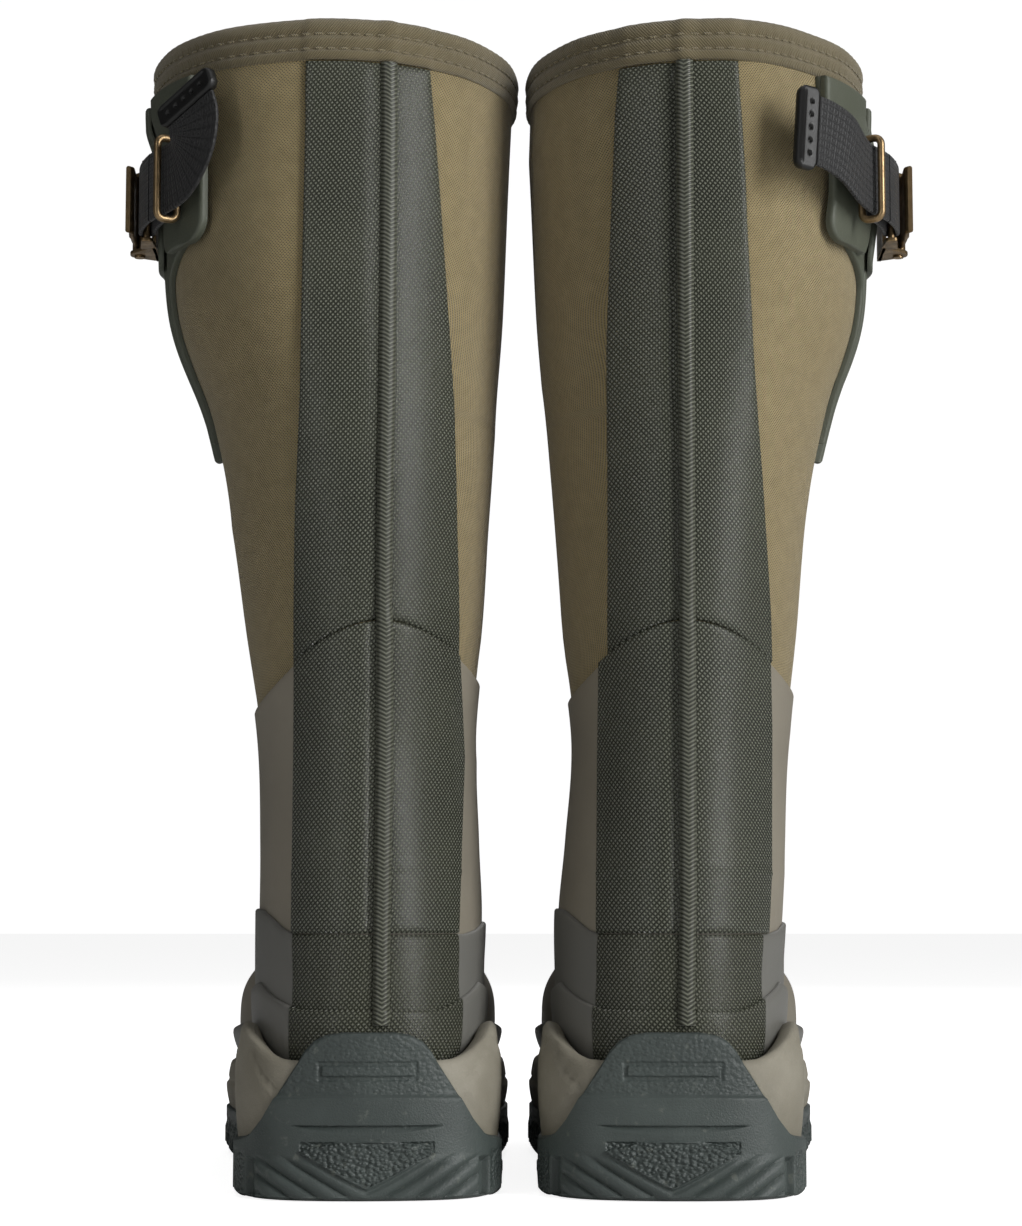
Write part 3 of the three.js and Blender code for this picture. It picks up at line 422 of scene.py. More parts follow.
def shut(outer, inner, uv):
    """Two grids with the same borders' layout, closed by four walls between their borders."""
    parts = [lay(outer, uv), lay(inner, uv)]
    for pick in (np.s_[0], np.s_[-1], np.s_[:, 0], np.s_[:, -1]):
        wall = np.stack([outer[pick], inner[pick]])
        parts.append(lay(wall, np.stack([uv[pick], uv[pick]])))
    return parts


def shares(length, step, roll=1.0):
    """Places 0 to 1 along a length, one step apart, closer where the edges roll."""
    close = min(roll, length / 4) * np.array([0, .06, .22, .5, 1.0]) / length
    inner = np.linspace(close[-1], 1 - close[-1], max(3, int(length / step)))[1:-1]
    return np.concatenate([close, inner, 1 - close[::-1]])


def stretch_weave(wire):
    a, b = across_up(wire, cloth_place(wire))
    cord = (a * 900.0).cell() + (b * 1500.0).cell() * .4
    return {"Base Color": cord.blended(shade(22, 23, 20), shade(52, 54, 47)), "Roughness": .9,
            "Sheen Weight": .2, "height": cord, "depth": .0003}


STRETCH = finish("stretch_fabric", stretch_weave)
panel_t, panel_s = shares(134, 2.5), np.linspace(0, 1, 13)
for hand in (-1, 1):
    z = 271.6 + (406 - 271.6) * panel_t
    v = np.interp(-z, -LAST[:7, 1], np.arange(7))
    u0, u1 = (angle_at(slot_edge(z, front), v) for front in (False, True))
    u0, u1 = u0 + .007, u1 - .007
    u = u0[:, None] + (u1 - u0)[:, None] * panel_s
    v2 = v[:, None] + 0 * u
    width = (u1 - u0)[:, None] * 62
    uv = np.stack([width * panel_s, z[:, None] + 0 * u], -1)
    fold = -1.3 * np.sin(panel_s * pi)[None] ** 2 * np.ones_like(u)
    piece("gusset_panel", hand, slab(u, v2, -3.3, -1.0, uv, .4, fold), STRETCH,
          ["gusset_panel"])

# ---------------------------------------------------------------- board, shank and footbed
# Under the foot lie a fibre lasting board and a spring steel shank, closed in between sock and
# sole. The footbed is a moulded foam insole with a felt cover that lifts out of the boot.

W_REACH = 345


def running(points):
    """The length along a line of points, from its first."""
    return np.concatenate([[0], np.cumsum(np.linalg.norm(np.diff(points, axis=0), axis=1))])


def level_sections():
    """Tables of u and v over height (31 to 408 mm) and distance round from the spine (0 to
    345 mm). Low sections run through the fanned stations, where the way forward is
    (z - back z) / (front z - back z); high ones keep to one station and turn through u."""
    heights, swing = np.arange(31, 409.0), (1 - np.cos(np.linspace(0, pi, 361))) / 2
    fine = np.linspace(0, TOE + .999, 3600)
    rows = last_rows(fine)
    back_z, front_z = rows[:, 1], rows[:, 3]
    heel, fore, rise = fine < 10.9, fine > 5.6, fine > 13
    table_u, table_v = np.zeros((len(heights), W_REACH)), np.zeros((len(heights), W_REACH))
    for row, z in enumerate(heights):
        if z < 155:
            first = np.interp(-z, -back_z[heel], fine[heel])
            last = (np.interp(-z, -front_z[fore], fine[fore]) if z >= 50
                    else np.interp(z, back_z[rise], fine[rise]))
            v = first + (last - first) * swing
            got = last_rows(v)
            way = np.clip((z - got[:, 1]) / np.maximum(got[:, 3] - got[:, 1], 1e-6), 0, 1)
            turned = 1 - 2 * way
            u = np.arccos(np.sign(turned) * np.abs(turned) ** (1 / (1 - got[:, 6])))
        else:
            u = pi * swing
            low, high = np.zeros_like(u), np.full_like(u, 7.0)
            for _ in range(34):
                v = (low + high) / 2
                above = last_point(u, v)[:, 2] > z
                low, high = np.where(above, v, low), np.where(above, high, v)
        plan = last_point(u, v)[:, :2]
        run = running(plan)
        table_u[row] = np.interp(np.arange(W_REACH), run, u)
        table_v[row] = np.interp(np.arange(W_REACH), run, v)
    return table_u, table_v


ROUND_U, ROUND_V = level_sections()


def wrap(w, z):
    """u and v at a distance w round the boot from its spine and a height z; w under 0 lies on
    the inner side."""
    w, z = np.broadcast_arrays(np.asarray(w, float), np.asarray(z, float))
    row, column = np.clip(z - 31, 0, 376.999), np.clip(np.abs(w), 0, W_REACH - 1.001)
    i, j = row.astype(int), column.astype(int)
    a, b = row - i, column - j
    pick = lambda t: ((t[i, j] * (1 - b) + t[i, j + 1] * b) * (1 - a)
                      + (t[i + 1, j] * (1 - b) + t[i + 1, j + 1] * b) * a)
    return np.sign(w) * pick(ROUND_U), pick(ROUND_V)


def halved(low, high, short, rounds):
    """The place between low and high up to which short holds, found by halving."""
    for _ in range(rounds):
        middle = (low + high) / 2
        here = short(middle)
        low, high = np.where(here, middle, low), np.where(here, high, middle)
    return low


def hump(gap, width):
    """A smooth bump of height 1 and the given half width."""
    return np.exp(-(gap / width) ** 2)


def reach(goal, z, axis, side=0):
    """The distance round, found by halving, at which the boot's x (axis 0) or, on one side, its
    y (axis 1) is the goal."""
    goal, z = np.broadcast_arrays(np.asarray(goal, float), np.asarray(z, float))
    low, high = (np.full(z.shape, -62.0), np.full(z.shape, 62.0)) if axis == 0 else (
        np.zeros(z.shape), np.full(z.shape, W_REACH - 2.0))
    turned = 1 if axis == 0 else side
    return turned * halved(
        low, high, lambda w: last_point(*wrap(turned * w, z))[..., axis] < goal, 26)


def felted(wire):
    place = wire.node("TexCoord", {}, {}, 3)
    tuft = wire.cloudy(place, 1900.0, 3.0)
    return {"Base Color": tuft.blended(shade(40, 42, 38), shade(74, 76, 68)), "Roughness": .95,
            "Sheen Weight": .3, "height": tuft, "depth": .0004}


def fibrous(wire):
    place = wire.node("Mapping", {}, {0: wire.node("TexCoord", {}, {}, 3), 3: (1.0, .25, 1.0)})
    fleck = wire.cloudy(place, 900.0, 5.0, .7)
    return {"Base Color": fleck.blended(shade(134, 112, 78), shade(186, 166, 130)),
            "Roughness": .88, "height": fleck, "depth": .0003}


def rolled_steel(wire):
    place = wire.node("Mapping", {}, {0: wire.node("TexCoord", {}, {}, 3), 3: (1.0, .04, 1.0)})
    grain = wire.cloudy(place, 1500.0, 3.0)
    return {"Base Color": grain.blended(shade(120, 122, 124), shade(168, 170, 172)),
            "Metallic": 1.0, "Roughness": grain * .2 + .3, "height": grain, "depth": .00008}


FELT, FIBRE, STEEL = (finish(*pair) for pair in (
    ("footbed_felt", felted), ("board_fibre", fibrous), ("shank_steel", rolled_steel)))
for hand, side in ((-1, "left"), (1, "right")):
    for node, look in (("lasting_board", FIBRE), ("shank", STEEL)):
        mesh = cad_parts[f"{side}_{node}"].data
        mesh.materials.clear()
        mesh.materials.append(look)
    w = np.linspace(-268, 268, 150)
    u, v = wrap(w, 42.0 + 0 * w)
    edge = on_last(u, v, -8.0 + 0 * w)[:, :2]
    spine = np.stack([np.zeros_like(w), np.clip(edge[:, 1], 34, 262)], 1)
    ring = np.concatenate([np.linspace(1, .9, 6), np.linspace(.85, 0, 12)])[:, None]
    plan = spine[None] + (edge - spine)[None] * ring[..., None]
    cup = 2.4 * np.clip((ring - .55) / .45, 0, 1) ** 2 * np.ones_like(w)[None]
    roll = np.where(ring > .96, -1.5 * ((ring - .96) / .04) ** 2, 0)
    arch = 1.6 * hump(plan[..., 1] - 118, 34) * np.clip(-plan[..., 0] / 30, 0, 1)
    top = np.concatenate([plan, (42.2 + cup + roll + arch)[..., None]], 2)
    bottom = np.concatenate([plan, np.full(plan.shape[:2], 37.6)[..., None]], 2)
    bed = piece("footbed", hand, shut(top, bottom, plan), FELT, ["footbed"])

# ---------------------------------------------------------------- vamp and ankle wrap
# A smooth rubber shell, vulcanised over the neoprene, covers instep and shin in front and the
# ankle behind. It is thin, slightly satin and a warm taupe grey.

ARCH_TOP, GUARD_HALF, ARCH_FALL = 196.0, 28.5, 13.0
SPINE = {-1: -4.0, 1: 4.0}


def arch_height(from_spine):
    """The arched top edge of the rear rubber: a flat curve, then a straight fall to the sides."""
    far = np.abs(from_spine)
    crown = ARCH_TOP - ARCH_FALL * np.clip(far / GUARD_HALF, 0, 1) ** 1.9
    return np.maximum(crown - .9 * np.maximum(far - GUARD_HALF, 0), 161)


def satin_rubber(dark, light, gloss=.42, grain=900.0, deep=.00006):
    """A paint for smooth moulded rubber: faint bloom, fine grain and scuffs."""
    def paint(wire):
        place = wire.node("TexCoord", {}, {}, 3)
        bloom, fine = wire.cloudy(place, 18.0, 4.0), wire.cloudy(place, grain, 3.0)
        scuff = wire.cloudy(wire.node("Mapping", {}, {0: place, 3: (1.0, 1.0, .2)}), 260.0, 5.0)
        rub = scuff.sharpened(.62, .8)
        colour = (bloom * .75 + fine * .15 + rub * .3).blended(dark, light)
        return {"Base Color": colour, "Roughness": fine * .12 + gloss + rub * .12,
                "height": fine, "depth": deep}
    return paint


TAUPE = finish("taupe_rubber", satin_rubber(shade(114, 109, 99), shade(148, 141, 126)))


def front_line(z):
    """y of the seam between ankle wrap and vamp, which leans forward as it rises."""
    return 60 + 24 * z / 220


def tops(w_of, top_of, z_guess):
    """Heights of a panel's top edge, from an edge drawn over x and y: four rounds of looking
    up the point and reading its height again."""
    z = np.full(w_of(0 * z_guess + 100).shape, 1.0) * z_guess
    for _ in range(4):
        point = last_point(*wrap(w_of(z), z))
        z = top_of(point[..., 0], point[..., 1])
    return z


def belt(limit_y, bottom, top_of, step, guess, roll=1.0):
    """u, v and pattern places of a band round the back of the boot, between side limits given
    as y over height, from a level bottom to a top edge over x and y."""
    s = 2 * shares(2 * abs(float(reach(limit_y(120.0), 120.0, 1, 1))), step, roll) - 1
    side = np.where(s < 0, -1, 1)
    def w_of(z):
        heights = np.arange(31, 409.0)
        outward = reach(limit_y(heights), heights, 1, 1)
        return s * np.interp(z, heights, outward)
    top = tops(w_of, top_of, guess)
    t = shares(float(top.max() - bottom), step, roll)[:, None]
    z = bottom + (top - bottom) * t
    w = w_of(z)
    u, v = wrap(w, z)
    return u, v, np.stack([w, z], -1)


for hand in (-1, 1):
    spine = SPINE[hand]
    u, v, uv = belt(front_line, 56.0, lambda x, y: arch_height(x - spine) - .3, 2.2, 175.0)
    w, z = uv[..., 0], uv[..., 1]
    beside = np.abs(w) - 29
    bead = hump(z - (119 - 1.15 * beside - .012 * beside ** 2), .9)
    bead = bead * np.clip((np.abs(w) - 27) / 3, 0, 1) * np.clip((62 - np.abs(w)) / 6, 0, 1)
    piece("ankle_wrap", hand, slab(u, v, .2, 1.5, uv, 1.0, .55 * bead), TAUPE,
          ["ankle_wrap"])

    shin = lambda y: np.interp(y, [76, 77, 92, 107, 200], [150, 152, 182, 232, 232])
    column = np.linspace(radians(52), radians(308), 130)

    def above_shin(v):
        point = last_point(column, v)
        return point[:, 2] > shin(point[:, 1])

    low = halved(np.zeros_like(column), np.full_like(column, 9.0), above_shin, 30)
    t = shares(300, 2.2)[:, None]
    v = low + (16.4 - low) * t
    u = column + 0 * v
    outer = on_last(u, v, 1.5 + 0 * v)
    uv = np.stack([girths(outer), -girths(np.swapaxes(outer, 0, 1)).T], -1)
    fold = 1.1 * hump(v - 7.0, .35) + .8 * hump(v - 8.3, .3)
    fold = fold * np.clip(np.sin((u - radians(52)) / radians(256) * pi), 0, 1) ** 3
    piece("vamp", hand, slab(u, v, .2, 1.4, uv, 1.0, -.25 * fold), TAUPE, ["vamp"])

# ---------------------------------------------------------------- heel counter, rear guard, bands
# Embossed rubber parts are laid over the ankle wrap: a counter round the heel, an arched guard up
# the tendon, a foxing band over the sole's joint and a cap on the toe, most with a mesh of small diamonds.

# The guard's half widths on the boot's inner and outer sides of the spine; the groove beside the
# rib; and where, beyond the diamonds, counter and band turn smooth.
GUARD_FOOT, GROOVE_OUT, SMOOTH_FROM = 88.8, 4.1, 30.5
GUARD_HALVES = {-1: (24.8, 29.0), 1: (28.4, 27.2)}


def diamonds(dark, light, glint, across=600.0, upward=540.0, rise=.0009, gloss=.2, plain=1.0):
    """A paint for embossed rubber: rows of slanted diamonds, shifted by half, whose tips are painted
    toward a glint colour as a painted highlight.
    """
    def paint(wire):
        place = cloth_place(wire)
        a, b = across_up(wire, place)
        smooth_side = abs(a).sharpened(plain, plain + .0006)
        a, b = a * across + b * 90.0, b * upward
        tip = (1 - a.lattice(b, 1.0, 1.0).sharpened(.1, .46)) * (1 - smooth_side)
        bloom = wire.cloudy(place, 24.0, 4.0)
        fine = wire.cloudy(place, 2400.0, 2.0)
        lit = bloom.sharpened(.35, .7).blended(dark, light)
        lit = smooth_side.blended(lit, shade(106, 105, 101))
        # The diamonds' tips are painted toward the glint colour: a painted highlight.
        colour = (tip * .8 + fine * .1).blended(lit, glint)
        return {"Base Color": colour, "Roughness": fine * .12 + gloss + smooth_side * .2,
                "height": tip + fine * .08, "depth": rise}
    return paint


# The third colour of each is the painted glint on the diamonds' tips.
EMBOSSED = finish("embossed_rubber", diamonds(shade(34, 36, 29), shade(50, 52, 42),
                                              shade(138, 141, 126)))
BANDED = finish("banded_rubber", diamonds(shade(38, 40, 32), shade(52, 54, 43),
                                          shade(130, 132, 117), plain=SMOOTH_FROM / 1000))


def counter_top(from_spine):
    """The counter's top edge: level behind, then stepping up to both sides."""
    return np.interp(np.abs(from_spine), [0, 27, 31, 35, 39, 60], [88.5, 88.6, 90, 93.5, 97, 101])


def foxing_top(y):
    return np.interp(y, [-40, 16, 40, 70, 118, 205, 255], [63, 63, 72, 68, 57, 50, 50])


for hand in (-1, 1):
    spine = SPINE[hand]
    u, v, uv = belt(lambda z: 92 - .213 * z, 46.0, lambda x, y: counter_top(x - spine), 2.2, 95.0)
    uv[..., 0] -= spine
    seam = -.35 * hump(np.abs(uv[..., 0]) - SMOOTH_FROM, .6)
    piece("heel_counter", hand, slab(u, v, 1.6, 3.0, uv, 1.2, seam), BANDED,
          ["heel_counter"])
    u, v, uv = belt(lambda z: 244.7 + 0 * z, 33.0, lambda x, y: foxing_top(y), 2.2, 55.0)
    uv[..., 0] -= spine
    seam = -.3 * hump(np.abs(uv[..., 0]) - SMOOTH_FROM, .6)
    piece("foxing_band", hand, slab(u, v, 3.1, 4.6, uv, 1.2, seam), BANDED,
          ["foxing_band"])

    share = 2 * shares(2 * GUARD_HALF + 1, 1.8) - 1
    x = spine + share * np.where(share < 0, *GUARD_HALVES[hand])
    t = shares(105, 1.8)[:, None]
    z = GUARD_FOOT + (arch_height(x - spine)[None] - GUARD_FOOT) * t
    w = reach(x[None] + 0 * z, z, 0)
    u, v = wrap(w, z)
    uv = np.stack([w, z], -1)
    waves = .3 * hump(z - (112 - .004 * (x - spine) ** 2), 1.0)
    waves = waves - 1.2 * hump(x - spine + hand * GROOVE_OUT, .9)
    piece("rear_guard", hand, slab(u, v, 1.6, 3.1, uv, 1.2, waves), EMBOSSED,
          ["rear_guard"])

    column = np.linspace(radians(28), radians(332), 140)

    def behind_cap(v):
        point = last_point(column, v)
        return point[:, 1] < 245.3 + np.interp(point[:, 2], [45, 62, 90], [0, 9, 24])

    low = halved(np.full_like(column, 12.0), np.full_like(column, 17.0), behind_cap, 30)
    t = np.linspace(0, 1, 46)[:, None] ** 1.15
    v = low + (TOE - low) * np.clip(t / .8, 0, 1) + np.sin(np.clip((t - .8) / .2, 0, 1) * pi / 2)
    u = column + 0 * v
    outer = on_last(u, v, 4.5 + 0 * v)
    uv = np.stack([girths(outer), -girths(np.swapaxes(outer, 0, 1)).T], -1)
    piece("toe_cap", hand, slab(u, v, 3.2, 4.6, uv, 1.2), EMBOSSED,
          ["toe_cap"])

# ---------------------------------------------------------------- calf strip and spine rib
# A long strip of embossed rubber is bonded up the back of the leg, from the guard's arch to the
# collar. A raised rib beside a moulded groove runs down its middle and on to the heel.

STRIP_TOP = 392.2


def herringbone(wire):
    """Fine ribs 1.5 mm apart that slant to both sides of the rib's middle; their crests are painted light
    and the grooves between them dark, as painted highlight and painted shade.
    """
    place = cloth_place(wire)
    a, b = across_up(wire, place)
    ridge = 1 - (b * 680.0 - abs(a) * 420.0).cell().sharpened(.08, .42)
    fine = wire.cloudy(place, 2400.0, 2.0)
    # Crests painted light and grooves painted dark: painted highlight and painted shade.
    colour = (ridge * .6 + fine * .15).blended(shade(42, 44, 36), shade(124, 126, 112))
    return {"Base Color": colour, "Roughness": fine * .14 + .26, "height": ridge, "depth": .0005}


RIBBED = finish("ribbed_rubber", herringbone)
# The strip's half widths (top, foot) on the boot's inner and outer sides of the spine.
STRIP_HALVES = {-1: ((13.3, 25.5), (28.0, 30.0)), 1: ((19.7, 26.4), (18.4, 28.9))}
for hand in (-1, 1):
    spine = SPINE[hand]
    left, right = STRIP_HALVES[hand]
    share = 2 * shares(52, 1.8) - 1
    t = shares(200, 2.0)[:, None]
    def strip_x(z):
        up = np.clip((z - ARCH_TOP) / (STRIP_TOP - ARCH_TOP), 0, 1)
        bend = up ** 1.25
        width = np.where(share < 0, left[1] + (left[0] - left[1]) * bend,
                         right[1] + (right[0] - right[1]) * bend)
        return spine + share * width
    foot = arch_height(strip_x(np.array([[190.0]])) - spine) + .3
    z = foot + (STRIP_TOP - foot) * t
    x = strip_x(z)
    w = reach(x, z, 0)
    u, v = wrap(w, z)
    lift = -1.2 * hump(x - spine + hand * GROOVE_OUT, .9)
    piece("calf_strip", hand, slab(u, v, .2, 1.7, np.stack([w, z], -1), 1.2, lift), EMBOSSED,
          ["calf_strip"])

    s = np.array([-1, -.97, -.9, -.75, -.5, -.25, 0, .25, .5, .75, .9, .97, 1])
    z = np.linspace(58, STRIP_TOP, 640)[:, None] + 0 * s
    x = spine + s * 2.6
    w = reach(x[None] + 0 * z, z, 0)
    u, v = wrap(w, z)
    step = 1.5 * np.clip((201 - z) / 6, 0, 1) + 1.5 * np.clip((64.5 - z) / 2, 0, 1)
    chevron = .08 * np.sin((z - np.abs(s) * 1.6) * 2 * pi / 1.47) * (np.abs(s) < .95)
    crown = 2.0 * (1 - np.abs(s) ** 3.5) + chevron
    uv = np.stack([2.6 * s + 0 * z, z], -1)
    outer, inner = on_last(u, v, 1.75 + step + crown), on_last(u, v, 1.5 + step)
    piece("spine_rib", hand, shut(outer, inner, uv), RIBBED, ["spine_rib"])

# ---------------------------------------------------------------- collar binding
# A woven tape is folded over the top edge of the neoprene and lining and sewn through twice.
# The two rows of lockstitch pull it in, so that it swells between them.

RIM_FOOT = 392.6


def on_rim(w, z, off):
    """A point of the collar by distance round, height and stand-off; above the rim the wall
    goes straight up."""
    u, v = wrap(w, np.minimum(z, 407.9))
    point = on_last(u, v, off)
    point[..., 2] = z
    return point


def twill(wire):
    """Diagonal ribs 0.8 mm apart, broken by the threads."""
    place = cloth_place(wire)
    a, b = across_up(wire, place)
    rib = (a * 1050.0 + b * 800.0).cell()
    thread = (a * 1500.0 - b * 1400.0).cell()
    mottle = wire.cloudy(place, 70.0, 4.0)
    lit = mottle.blended(shade(110, 101, 74), shade(140, 128, 97))
    colour = (rib * 1.1 + thread * .5).blended(lit, shade(62, 54, 36))
    return {"Base Color": colour, "Roughness": .85, "Sheen Weight": .25,
            "height": 1 - rib * 1.4 - thread * .6, "depth": .0003}


def twisted_thread(wire):
    place = wire.node("TexCoord", {}, {}, 3)
    strand = wire.node("TexWave", {"bands_direction": "DIAGONAL"},
                       {"Vector": place, "Scale": 900.0, "Distortion": .5}, 1)
    return {"Base Color": strand.blended(shade(84, 76, 52), shade(148, 136, 104)),
            "Roughness": .6, "Sheen Weight": .3, "height": strand, "depth": .0002}


BINDING, THREAD = finish("binding_twill", twill), finish("binding_thread", twisted_thread)
for hand in (-1, 1):
    spine = SPINE[hand]
    length = float(reach(148.9, 400.0, 1, 1))
    w = np.linspace(-length, length, 301)[:-1]
    fold = np.array([(.1, 0.0), (.7, .1), (1.3, .8), (1.6, 2.4), (1.0, 3.7), (1.6, 5.2),
                     (1.9, 6.9), (1.1, 8.9), (1.8, 10.6), (1.6, 12.6), (.7, 14.2), (-1.2, 15.2),
                     (-3.3, 15.4), (-6.2, 15.1), (-8.1, 13.6), (-8.7, 11.0), (-8.4, 7.0),
                     (-8.6, 3.0), (-8.2, .4), (-7.2, 0.0), (-3.0, 1.2)])
    fine = np.linspace(0, len(fold), 64, endpoint=False)
    ring = np.vstack([fold[-1:], fold, fold[:2]])
    profile = spline(ring, fine.astype(int), (fine % 1)[:, None])
    x_here = on_rim(w, 400.0 + 0 * w, 0 * w)[:, 0] - spine
    left, right = (halves[0] for halves in STRIP_HALVES[hand])
    over_strip = 1 / (1 + np.exp(-(x_here + left) / .5)) / (1 + np.exp((x_here - right) / .5))
    over_strip = over_strip * (on_rim(w, 400.0 + 0 * w, 0 * w)[:, 1] < 60)
    bump = .8 * over_strip + 1.3 * hump(x_here, 2.4) * (over_strip > .5)
    pucker = .12 * np.sin(w * 2 * pi / 4.2) + .25 * np.sin(w / 13.0) * np.cos(w / 7.1)
    off = profile[:, :1] + (profile[:, :1] > -3) * (bump + pucker)[None]
    z = RIM_FOOT + profile[:, 1:] + 0 * off
    points = on_rim(w[None] + 0 * off, z, off)
    run = girths(np.swapaxes(points, 0, 1)).T
    uv = np.stack([np.append(w, length)[None] + 0 * run[:, :1], np.hstack([run, run[:, :1]])], -1)
    points, uv = np.vstack([points, points[:1]]), np.vstack([uv, uv[-1:] + (0, 1)])
    piece("collar_binding", hand, [lay(points, uv, True)], BINDING,
          ["collar_binding"], crease=60)

    seam_w = np.arange(-length + 2, length - 2, 4.2)
    t, turn = np.linspace(0, pi, 7), np.linspace(0, 2 * pi, 9)
    long_way, thick = -1.55 * np.cos(t)[:, None], .46 * np.sin(t)[:, None]
    cell = np.stack([long_way + 0 * turn, thick * np.cos(turn), thick * np.sin(turn)], -1)
    stitches = []
    for height, sunk in ((3.7, 1.2), (8.9, 1.3)):
        extra = np.interp(seam_w, w, bump + pucker)
        at = lambda dw, dz, do: on_rim(seam_w + dw, RIM_FOOT + height + dz, sunk + extra + do)
        base, tip = at(0, 0, 0), at(.5, 0, 0)
        along = (tip - base) / np.linalg.norm(tip - base, axis=1, keepdims=True)
        out = np.cross(along, (0, 0, 1.0))
        for b0, a0, o0 in zip(base, along, out):
            grid = b0 + cell[..., :1] * a0 + cell[..., 1:2] * (0, 0, 1.0) + cell[..., 2:] * o0
            stitches.append(lay(grid, cell[..., :2]))
    piece("collar_stitching", hand, stitches, THREAD, [], crease=80)

# ---------------------------------------------------------------- midsole
# A foamed rubber midsole is moulded round the foot, drawn up in wings beside the heel. A parting
# crease curves down its back and runs forward along its side.

OUTLINE = np.array([
    (0, 0), (30.4, 6), (44.6, 27), (46, 60), (45, 95), (48, 135), (56.5, 184.5), (59, 215),
    (53.5, 250), (39.1, 282), (16.1, 301.5), (-6.9, 305), (-27, 298), (-44.3, 276),
    (-53.5, 240), (-54.9, 205), (-50, 164), (-43, 125), (-44, 90), (-46, 60), (-44.6, 27),
    (-30.4, 6)])


def outline(count):
    """The sole's edge, evenly spaced: a closed Catmull-Rom curve through OUTLINE, with its
    outward normals and the running length from the back of the heel."""
    n = len(OUTLINE)
    fine = np.linspace(0, n, 6001)[:-1]
    curve = spline(OUTLINE, fine.astype(int) - 1, (fine % 1)[:, None])
    closed = np.vstack([curve, curve[:1]])
    run = running(closed)
    even = np.arange(count) * run[-1] / count
    points = np.stack([np.interp(even, run, closed[:, k]) for k in (0, 1)], 1)
    heading = np.roll(points, -1, 0) - np.roll(points, 1, 0)
    out = np.stack([heading[:, 1], -heading[:, 0]], 1)
    return points, out / np.linalg.norm(out, axis=1, keepdims=True), even, run[-1]


def tab_top(x):
    """Height of the heel tab's edge over its distance from the middle."""
    return np.interp(np.abs(x), [0, 9, 14.5, 18.5, 21.5, 24, 27.5, 31, 35, 39, 42, 45, 46],
                     [56, 56, 55.2, 53.2, 50, 45.8, 40.5, 35.2, 28, 22.6, 20.9, 20, 14])


def foam(wire):
    place = wire.node("TexCoord", {}, {}, 3)
    grain, bloom = wire.cloudy(place, 1500.0, 4.0, .65), wire.cloudy(place, 30.0, 4.0)
    # The foam is darker towards the bottom, below about 16 to 34 mm up.
    height_fade = place.node("SeparateXYZ", {}, {0: place}, 2).sharpened(.016, .034)
    upper_tone = bloom.sharpened(.3, .75).blended(shade(132, 127, 113), shade(156, 151, 137))
    colour = height_fade.blended(shade(122, 117, 103), upper_tone)
    return {"Base Color": (grain * .3).blended(colour, shade(96, 92, 80)), "Roughness": .68,
            "height": grain, "depth": .00022}


FOAM = finish("midsole_foam", foam)
edge, out, run, girth = outline(420)
for hand in (-1, 1):
    signed = np.where(run > girth / 2, run - girth, run)
    x, y = edge[:, 0], edge[:, 1]
    crest = np.interp(y, [0, 6, 18, 30, 42, 56, 82, 118, 205, 255, 287, 306],
                      [46, 47, 52, 56.5, 58.5, 56, 46, 40, 37, 39, 47, 49])
    t = np.array([0, .02, .06, .12, .18, .24, .3, .36, .42, .48, .54, .6, .66, .72, .78, .84,
                  .9, .95, .985, 1])[:, None]
    z = 19.3 + (crest - 19.3) * t
    crease = np.interp(np.abs(signed), [0, 31, 39, 48, 60, 78, 110, 160, 230, 340, 420],
                       [36.4, 36.4, 41.4, 50.5, 52, 46, 35, 31, 29, 32, 34])
    swell = 1.3 * np.sin(t * pi) - 1.2
    swell = swell - 1.0 * hump(z - crease, .8) - .7 * (z > crease)
    swell = swell - 4.6 * np.clip((tab_top(x) - 3.2 - z) / 2.5, 0, 1) * (y < 28)
    swell = np.where((y < 30) & (np.abs(z - tab_top(x)) < 5), np.minimum(swell, -.9), swell)
    swell = swell - 1.6 * np.clip((t - .93) / .07, 0, 1) ** 2
    lip = np.linspace(0, 1, 6)[1:, None]
    outer = np.concatenate([edge + out * swell[..., None], z[..., None]], 2)
    over = np.concatenate([edge + out * (swell[-1:] - 5.0 * lip)[..., None],
                           (crest - 2.2 * lip ** 2)[..., None]], 2)
    under = np.concatenate([edge + out * (-np.array([[9.0], [9.0]]) + 0 * z[:2])[..., None],
                            np.stack([crest - 9, 19.3 + 0 * crest])[..., None]], 2)
    loop = np.concatenate([outer, over, under, outer[:1]])
    down = girths(np.swapaxes(loop, 0, 1)).T
    ends = np.hstack([down, down[:, :1]])
    uv = np.stack([np.append(run, girth)[None] + 0 * ends, ends], -1)
    piece("midsole", hand, [lay(loop, uv, True)], FOAM, ["midsole"], crease=50)

# ---------------------------------------------------------------- outsole and heel tab
# One moulding of hard grey-green rubber: a block of lugs under the foot, and a tab that climbs
# the heel. Shield, ribs, ledge and grain stand in relief on the tab; the underside is chevrons.


def underside(y):
    """Height of the tread's face: flat at the heel, raised at the arch, rocking up to the toe."""
    arch = np.interp(y, [92, 100, 124, 132], [0, 8, 8, 0])
    return arch + 14 * np.clip((y - 150) / 155, 0, 1) ** 1.5


def tread(x, y):
    """Depth of the grooves: slanted cross grooves every 21 mm and one along the middle."""
    slant = y - .16 * np.abs(x)
    cross = (slant - 10.5) % 21.0
    gap = np.clip(np.minimum(cross + .9, 6.9 - cross) / 1.2, 0, 1)
    spine_gap = np.clip((2.6 - np.abs(x - 2)) / 1.0, 0, 1) * (y > 24) * (y < 278)
    side = np.clip((3.2 - np.abs(np.abs(x) - 24 - .06 * (y - 100))) / 1.2, 0, 1) * .6
    side = side * (y > 150) * (y < 268)
    flat = (y < 8) | (y > 293) | ((y > 88) & (y < 136))
    return np.where(flat, 0, 5.0 * np.maximum.reduce([gap, .8 * spine_gap, side]))


